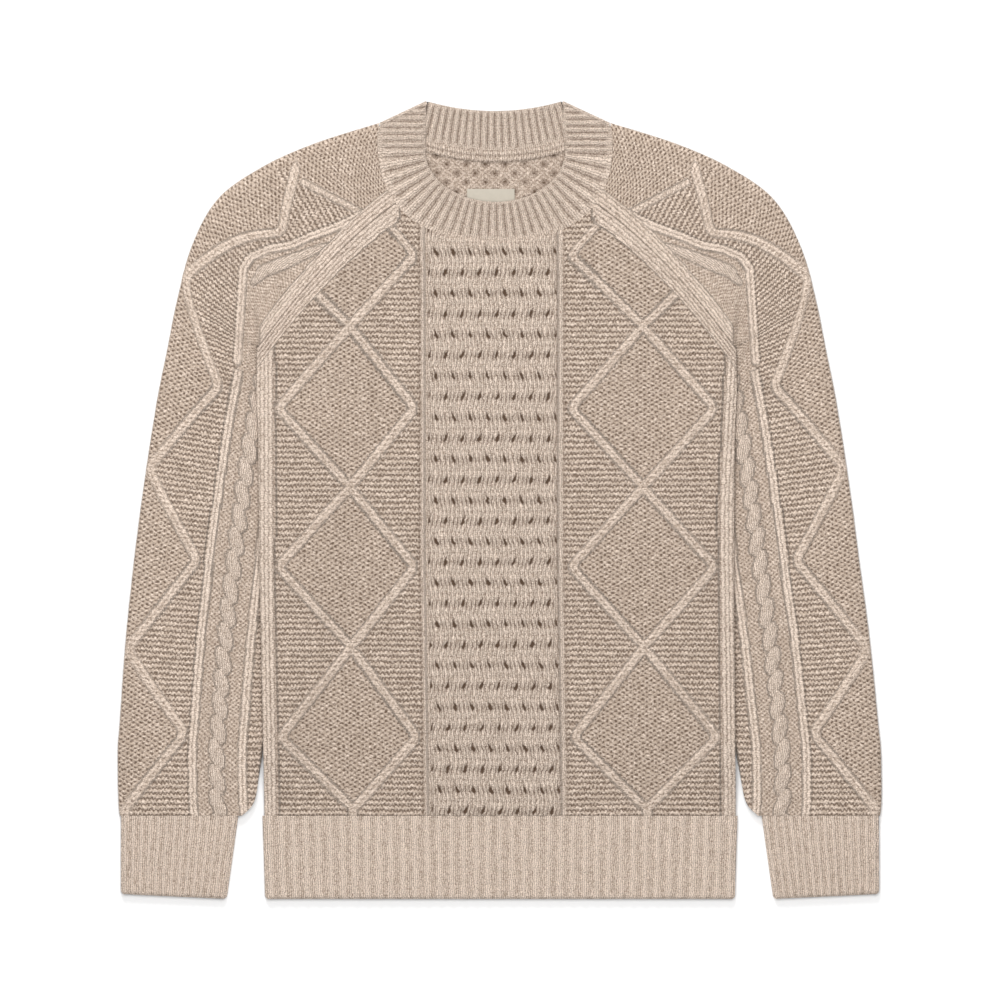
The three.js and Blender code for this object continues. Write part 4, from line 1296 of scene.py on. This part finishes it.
def trellis_shade(g, u, v):
    """Painted shade in the holes of the trellis, in the thin gap above each, in the slits between
    strands and along the purl rows between them.
    """
    row = g.math("MULTIPLY_ADD", v, COURSE / HOLE_ROW, -HOLE_BOTTOM / HOLE_ROW)
    near = g.math("ROUND", row)
    dy = g.math("MULTIPLY", g.math("SUBTRACT", row, near), HOLE_ROW)
    odd = g.math("FLOORED_MODULO", near, 2.0)
    shifted = g.math("MULTIPLY_ADD", odd, 0.5, g.math("MULTIPLY", u, 0.25))
    straight = g.math("MULTIPLY", g.math("SUBTRACT", shifted, g.math("ROUND", shifted)), REPEAT)
    slant = g.math("MULTIPLY", dy, g.math("MULTIPLY_ADD", odd, -0.8, 0.4))
    dx = g.math("SUBTRACT", straight, slant)
    above, below = g.math("MAXIMUM", dy, 0.0), g.math("MINIMUM", dy, 0.0)
    tall = g.math("MULTIPLY", bell(g, above, 2.3), bell(g, below, 1.6))
    hole = g.math("MULTIPLY", bell(g, dx, 1.5), tall)
    start = g.math("MULTIPLY", above, 0.5)
    stop = g.math("MULTIPLY", g.math("SUBTRACT", 10.5, dy), 0.18)
    length = g.math("MAXIMUM", g.math("MINIMUM", g.math("MINIMUM", start, stop), 1.0), 0.0)
    tail = g.math("MULTIPLY", bell(g, dx, 0.75), length)
    off_row = g.math("SUBTRACT", g.math("ABSOLUTE", dy), HOLE_ROW / 2)
    purl = g.math("MULTIPLY_ADD", g.math("SINE", g.math("MULTIPLY", u, 2 * math.pi)), 0.22, 0.2)
    purl = g.math("MULTIPLY", bell(g, off_row, 1.5), purl)
    leaning = g.math("MULTIPLY_ADD", slant, -0.5, straight)
    strand = g.math("MULTIPLY", leaning, math.pi / TRELLIS_WALE)
    slits = g.math("POWER", g.math("ABSOLUTE", g.math("COSINE", strand)), 3.0)
    slits = g.math("MULTIPLY", slits, g.math("MULTIPLY_ADD", bell(g, dy, 6.0), 0.4, 0.26))
    holes = g.math("MULTIPLY_ADD", hole, 1.5, g.math("MULTIPLY", tail, 0.55))
    band = g.math("MULTIPLY_ADD", bell(g, dy, 3.6), 0.22, -0.24)
    return g.math("ADD", g.math("ADD", holes, band), g.math("ADD", purl, slits))


def lattice_shade(g, u, v):
    """Painted shade in the triangles between the strands of the trellis seen from inside, and between
    the plies of each strand.
    """
    down = g.math("MULTIPLY_ADD", v, COURSE / DOWN, -CROSS_Y / DOWN)
    strands = []
    for way in (1.0, -1.0):
        place = g.math("MULTIPLY_ADD", down, way, g.math("MULTIPLY", u, WALE / ACROSS))
        off = g.math("SUBTRACT", g.math("FRACT", place), 0.5)
        plies = g.math("ABSOLUTE", g.math("SINE", g.math("MULTIPLY", off, 4 * math.pi)))
        strands.append((bell(g, off, 0.27), plies))
    (first, first_plies), (second, second_plies) = strands
    gap = g.math("MULTIPLY", g.math("SUBTRACT", 1.0, first), g.math("SUBTRACT", 1.0, second))
    plies = g.mix(g.math("GREATER_THAN", first, second), second_plies, first_plies)
    between_plies = g.math("MULTIPLY", g.math("POWER", g.math("SUBTRACT", 1.0, plies), 1.6), 0.42)
    return g.math("ADD", g.math("POWER", gap, 3.0), between_plies)


# %% [markdown]
# ## Fibres
# Noise on Object coordinates stays in place on the cloth. Fine noise gives fuzz, and
# coarser noise gives the mixed strands of the yarn.

# %% Fibres
EVEN = (1.0, 1.0, 1.0)


def fibre(g, scale, stretch, detail=3.0):
    """Noise whose patches are about 1 / scale metres in size."""
    place = g.put("ShaderNodeTexCoord")
    mapping = g.put("ShaderNodeMapping")
    g.join(place.outputs["Object"], mapping.inputs["Vector"])
    g.join(stretch, mapping.inputs["Scale"])
    noise = g.put("ShaderNodeTexNoise")
    g.join(mapping.outputs[0], noise.inputs["Vector"])
    g.join(scale, noise.inputs["Scale"])
    g.join(detail, noise.inputs["Detail"])
    g.join(0.6, noise.inputs["Roughness"])
    return noise.outputs["Fac"]


# %% [markdown]
# ## Colour of the yarn
# The real yarn is spun from light and brown fibres. Noise mixes the two colours, each
# leg of a stitch differs a little, and raised ridges get a painted highlight.

# %% Colour of the yarn
LIGHT = (0.80, 0.665, 0.56, 1.0)
MIDDLE = (0.49, 0.388, 0.31, 1.0)


def positive(g, value, factor=1.0):
    """The value times a factor, and 0 where that is negative."""
    return g.math("MAXIMUM", g.math("MULTIPLY", value, factor), 0.0)


def loosened(g, place, knit):
    """Stitch numbers a little out of line, as in soft yarn, and least in plain columns."""
    loose = g.math("MULTIPLY_ADD", knit, -0.42, 1.0)
    sway = g.math("MULTIPLY", g.math("SUBTRACT", fibre(g, 290.0, EVEN), 0.5), 1.5)
    rise = g.math("MULTIPLY", g.math("SUBTRACT", fibre(g, 330.0, (0.8, 1.4, 1.0)), 0.5), 2.2)
    u = g.math("MULTIPLY_ADD", sway, loose, place[0])
    return u, g.math("MULTIPLY_ADD", rise, loose, place[1])


def yarn_colour(g, u, v, share, tone, tint):
    light, middle = (tuple(c * tint for c in part[:3]) + (1.0,) for part in (LIGHT, MIDDLE))
    marl = fibre(g, 560.0, (1.0, 1.4, 1.0))
    spun = g.math("MULTIPLY_ADD", g.math("SUBTRACT", marl, 0.5), 4.6, 0.27)
    spun = g.math("MULTIPLY_ADD", each_stitch(g, u, v), 0.6, spun)
    plain = g.math("MULTIPLY_ADD", share[0], 0.15, g.math("MULTIPLY", share[1], -0.45))
    plain = g.math("MULTIPLY_ADD", share[2], -0.35, plain)
    # Painted highlight where the relief is raised.
    raised = g.math("MULTIPLY", positive(g, tone, -1.0), 0.6)
    return g.mix(g.math("ADD", g.math("ADD", spun, plain), raised), middle, light)


print("yarn from", MIDDLE[:3], "to", LIGHT[:3])

# %% [markdown]
# ## Dark between the stitches
# Little light reaches the gaps between stitches, the hollows and the open work. Each
# gives a share of dark, and loose specks of fibre are added.

# %% Dark between the stitches
DARK = (0.095, 0.058, 0.037, 1.0)
GAP_DARK = (0.62, 0.95, 0.80)  # between knit, moss and garter stitches


def darkness(g, u, v, share, tone, open_work, height, fuzz):
    low = g.math("SUBTRACT", 1.0, height)
    parts = [g.math("MULTIPLY", share[i], GAP_DARK[i]) for i in range(3)]
    depth = g.math("ADD", parts[0], g.math("ADD", parts[1], parts[2]))
    gap = g.math("MULTIPLY", g.math("POWER", low, 1.9), depth)
    outside = g.math("MULTIPLY", positive(g, open_work), trellis_shade(g, u, v))
    inside = g.math("MULTIPLY", positive(g, open_work, -1.0), lattice_shade(g, u, v))
    hollow = g.math("ADD", positive(g, tone, 0.85), g.math("ADD", outside, inside))
    hollow = g.math("MINIMUM", hollow, 1.0)
    lit = g.math("MULTIPLY", g.math("SUBTRACT", 1.0, gap), g.math("SUBTRACT", 1.0, hollow))
    speck = g.math("MULTIPLY", positive(g, g.math("SUBTRACT", 0.47, fuzz)), 3.6)
    return g.math("MINIMUM", g.math("ADD", g.math("SUBTRACT", 1.0, lit), speck), 1.0)


print("dark between knit, moss and garter stitches:", GAP_DARK)

# %% [markdown]
# ## Wool
# Wool is rough, with a soft sheen from its loose fibres. The stitch height and the fuzz
# also bump the surface, finer than the mesh can.

# %% The wool material


def cloth_surface(g, colour, rough, relief, strength, depth):
    """A shaded cloth with a fine bump, joined to the material's output."""
    bump = g.put("ShaderNodeBump")
    g.join(strength, bump.inputs["Strength"])
    g.join(depth, bump.inputs["Distance"])
    g.join(relief, bump.inputs["Height"])
    surface = g.put("ShaderNodeBsdfPrincipled")
    g.join(colour, surface.inputs["Base Color"])
    g.join(rough, surface.inputs["Roughness"])
    g.join(bump.outputs[0], surface.inputs["Normal"])
    output = g.put("ShaderNodeOutputMaterial")
    g.join(surface.outputs[0], output.inputs["Surface"])
    return surface


def wool(name, tint=1.0):
    material = bpy.data.materials.new(name)
    g = Graph(material)
    stitch = g.put("ShaderNodeAttribute", attribute_name="stitch")
    kind = g.put("ShaderNodeAttribute", attribute_name="kind")
    tone = g.put("ShaderNodeAttribute", attribute_name="tone").outputs["Fac"]
    where = g.put("ShaderNodeSeparateXYZ")
    g.join(stitch.outputs["Vector"], where.inputs[0])
    kinds = g.put("ShaderNodeSeparateColor")
    g.join(kind.outputs["Color"], kinds.inputs[0])
    share = kinds.outputs[:3]
    u, v = loosened(g, where.outputs, share[0])
    height = stitch_height(g, u, v, share)
    fuzz = fibre(g, 1200.0, EVEN, 4.0)
    yarn = yarn_colour(g, u, v, share, tone, tint)
    dark = darkness(g, u, v, share, tone, where.outputs[2], height, fuzz)
    relief = g.math("ADD", g.math("MULTIPLY", height, 0.9), g.math("MULTIPLY", fuzz, 0.6))
    surface = cloth_surface(g, g.mix(dark, yarn, DARK), 0.95, relief, 0.9, 0.001)
    g.join(0.12, surface.inputs["Specular IOR Level"])
    g.join(0.2, surface.inputs["Sheen Weight"])
    g.join(0.5, surface.inputs["Sheen Roughness"])
    g.join((0.8, 0.72, 0.65, 1.0), surface.inputs["Sheen Tint"])
    return material


# One yarn throughout: the lighter copies for the sleeves, ribs and strip are painted light that makes
# these pieces look more brightly lit.
body_wool = wool("Body wool")
sleeve_wool = wool("Sleeve wool", 1.07)
rib_wool = wool("Rib wool", 1.1)
collar_wool = wool("Collar wool", 1.0)
tape_wool = wool("Linking wool", 1.08)
print(f"one wool has {len(body_wool.node_tree.nodes)} nodes")

# %% [markdown]
# ## Woven label
# Plain weave is a chequer of threads that go over and under. Two sine waves give it.

# %% The label material


def woven(name):
    material = bpy.data.materials.new(name)
    g = Graph(material)
    stitch = g.put("ShaderNodeAttribute", attribute_name="stitch")
    where = g.put("ShaderNodeSeparateXYZ")
    g.join(stitch.outputs["Vector"], where.inputs[0])
    wave_u = g.math("SINE", g.math("MULTIPLY", where.outputs[0], math.pi))
    wave_v = g.math("SINE", g.math("MULTIPLY", where.outputs[1], math.pi))
    weave = g.math("MULTIPLY_ADD", g.math("MULTIPLY", wave_u, wave_v), 0.5, 0.5)
    cloudy = fibre(g, 160.0, EVEN)
    tone = g.math("ADD", g.math("MULTIPLY", weave, 0.35), g.math("MULTIPLY", cloudy, 0.65))
    colour = g.mix(tone, (0.35, 0.315, 0.26, 1.0), (0.49, 0.445, 0.37, 1.0))
    cloth_surface(g, colour, 0.7, weave, 0.5, 0.0002)
    return material


label_weave = woven("Label weave")
print(f"the label's weave has {len(label_weave.node_tree.nodes)} nodes")

# %% [markdown]
# ## Each row gives a piece, its CAD node, its slot, its wool, its flat cut and its area. Each piece gets its wool and hangs from the root, and its CAD node is hidden.
# The cloth is declared as sheets laid down flat, with the size of each cut.

PIECES = [
    (front, "front", "knit_body", body_wool, (0.41, 0.53), 0.19),
    (back, "back", "knit_body", body_wool, (0.41, 0.6), 0.215),
    (sleeve_left, "sleeve_left", "knit_sleeve", sleeve_wool, (0.33, 0.70), 0.16),
    (sleeve_right, "sleeve_right", "knit_sleeve", sleeve_wool, (0.33, 0.70), 0.16),
    (hem_rib, "hem_rib", "knit_rib", rib_wool, (0.82, 0.072), None),
    (cuff_left, "cuff_left", "knit_rib", rib_wool, (0.196, 0.072), None),
    (cuff_right, "cuff_right", "knit_rib", rib_wool, (0.196, 0.072), None),
    (collar, "collar", "knit_rib", collar_wool, (0.47, 0.036), None),
    (neck_tape, "neck_tape", "neck_tape", tape_wool, (0.133, 0.01), None),
    (neck_label, "neck_label", "neck_label", label_weave, (0.041, 0.0245), None),
]
for obj, node, slot, material, flat, area in PIECES:
    obj.data.materials.append(material)
    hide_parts(node)
    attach(obj, "root")
print("pieces:", [piece[0].name for piece in PIECES])

# %% [markdown]
# ## Floor
# The sweater rests on pale paper, a hair below it so that the two don't flicker.

# %% Floor
bm = bmesh.new()
bmesh.ops.create_grid(bm, x_segments=8, y_segments=8, size=3)
bmesh.ops.translate(bm, verts=bm.verts, vec=(0, 0, -0.0006))
floor_mesh = bpy.data.meshes.new("Floor")
bm.to_mesh(floor_mesh)
bm.free()
floor = bpy.data.objects.new("Floor", floor_mesh)
bpy.context.scene.collection.objects.link(floor)
paper = bpy.data.materials.new("Floor paper")
g = Graph(paper)
surface = g.put("ShaderNodeBsdfPrincipled")
pale = g.mix(fibre(g, 3.0, EVEN), (0.86, 0.86, 0.86, 1.0), (0.9, 0.9, 0.9, 1.0))
g.join(pale, surface.inputs["Base Color"])
g.join(0.9, surface.inputs["Roughness"])
output = g.put("ShaderNodeOutputMaterial")
g.join(surface.outputs[0], output.inputs["Surface"])
floor_mesh.materials.append(paper)
print("floor of", len(floor_mesh.polygons), "faces")

# %% [markdown]
# ## Lights
# A large light overhead is soft, as in a studio. A second one from the neck's side
# grazes the relief and brings out the ridges, and the white surroundings fill shadows.

# %% Lights
scene = bpy.context.scene


def area_light(name, place, size, watts):
    data = bpy.data.lights.new(name, "AREA")
    data.shape = "DISK"
    data.size, data.energy = size, watts
    light = bpy.data.objects.new(name, data)
    light.location = place
    light.rotation_euler = (-Vector(place)).to_track_quat("-Z", "Y").to_euler()
    scene.collection.objects.link(light)


area_light("Overhead", (0, 0.05, 2.2), 1.6, 37)
area_light("From the neck", (-0.35, 1.9, 1.5), 0.9, 34)

world = bpy.data.worlds.new("Studio")
scene.world = world
world.use_nodes = True
world.node_tree.nodes["Background"].inputs[0].default_value = (1.0, 1.0, 1.0, 1.0)
world.node_tree.nodes["Background"].inputs[1].default_value = 0.42
print("lights:", [light.name for light in bpy.data.lights])

# %% [markdown]
# ## Camera
# The photo looks straight down with no perspective that shows, so the camera does too.

# %% Camera
camera_data = bpy.data.cameras.new("Camera")
camera_data.type = "ORTHO"
camera_data.ortho_scale = 0.86
camera = bpy.data.objects.new("Camera", camera_data)
camera.location = (0, 0, 1.5)
scene.collection.objects.link(camera)
scene.camera = camera
scene.view_settings.view_transform = "Standard"
print(f"the camera sees {camera_data.ortho_scale} m")
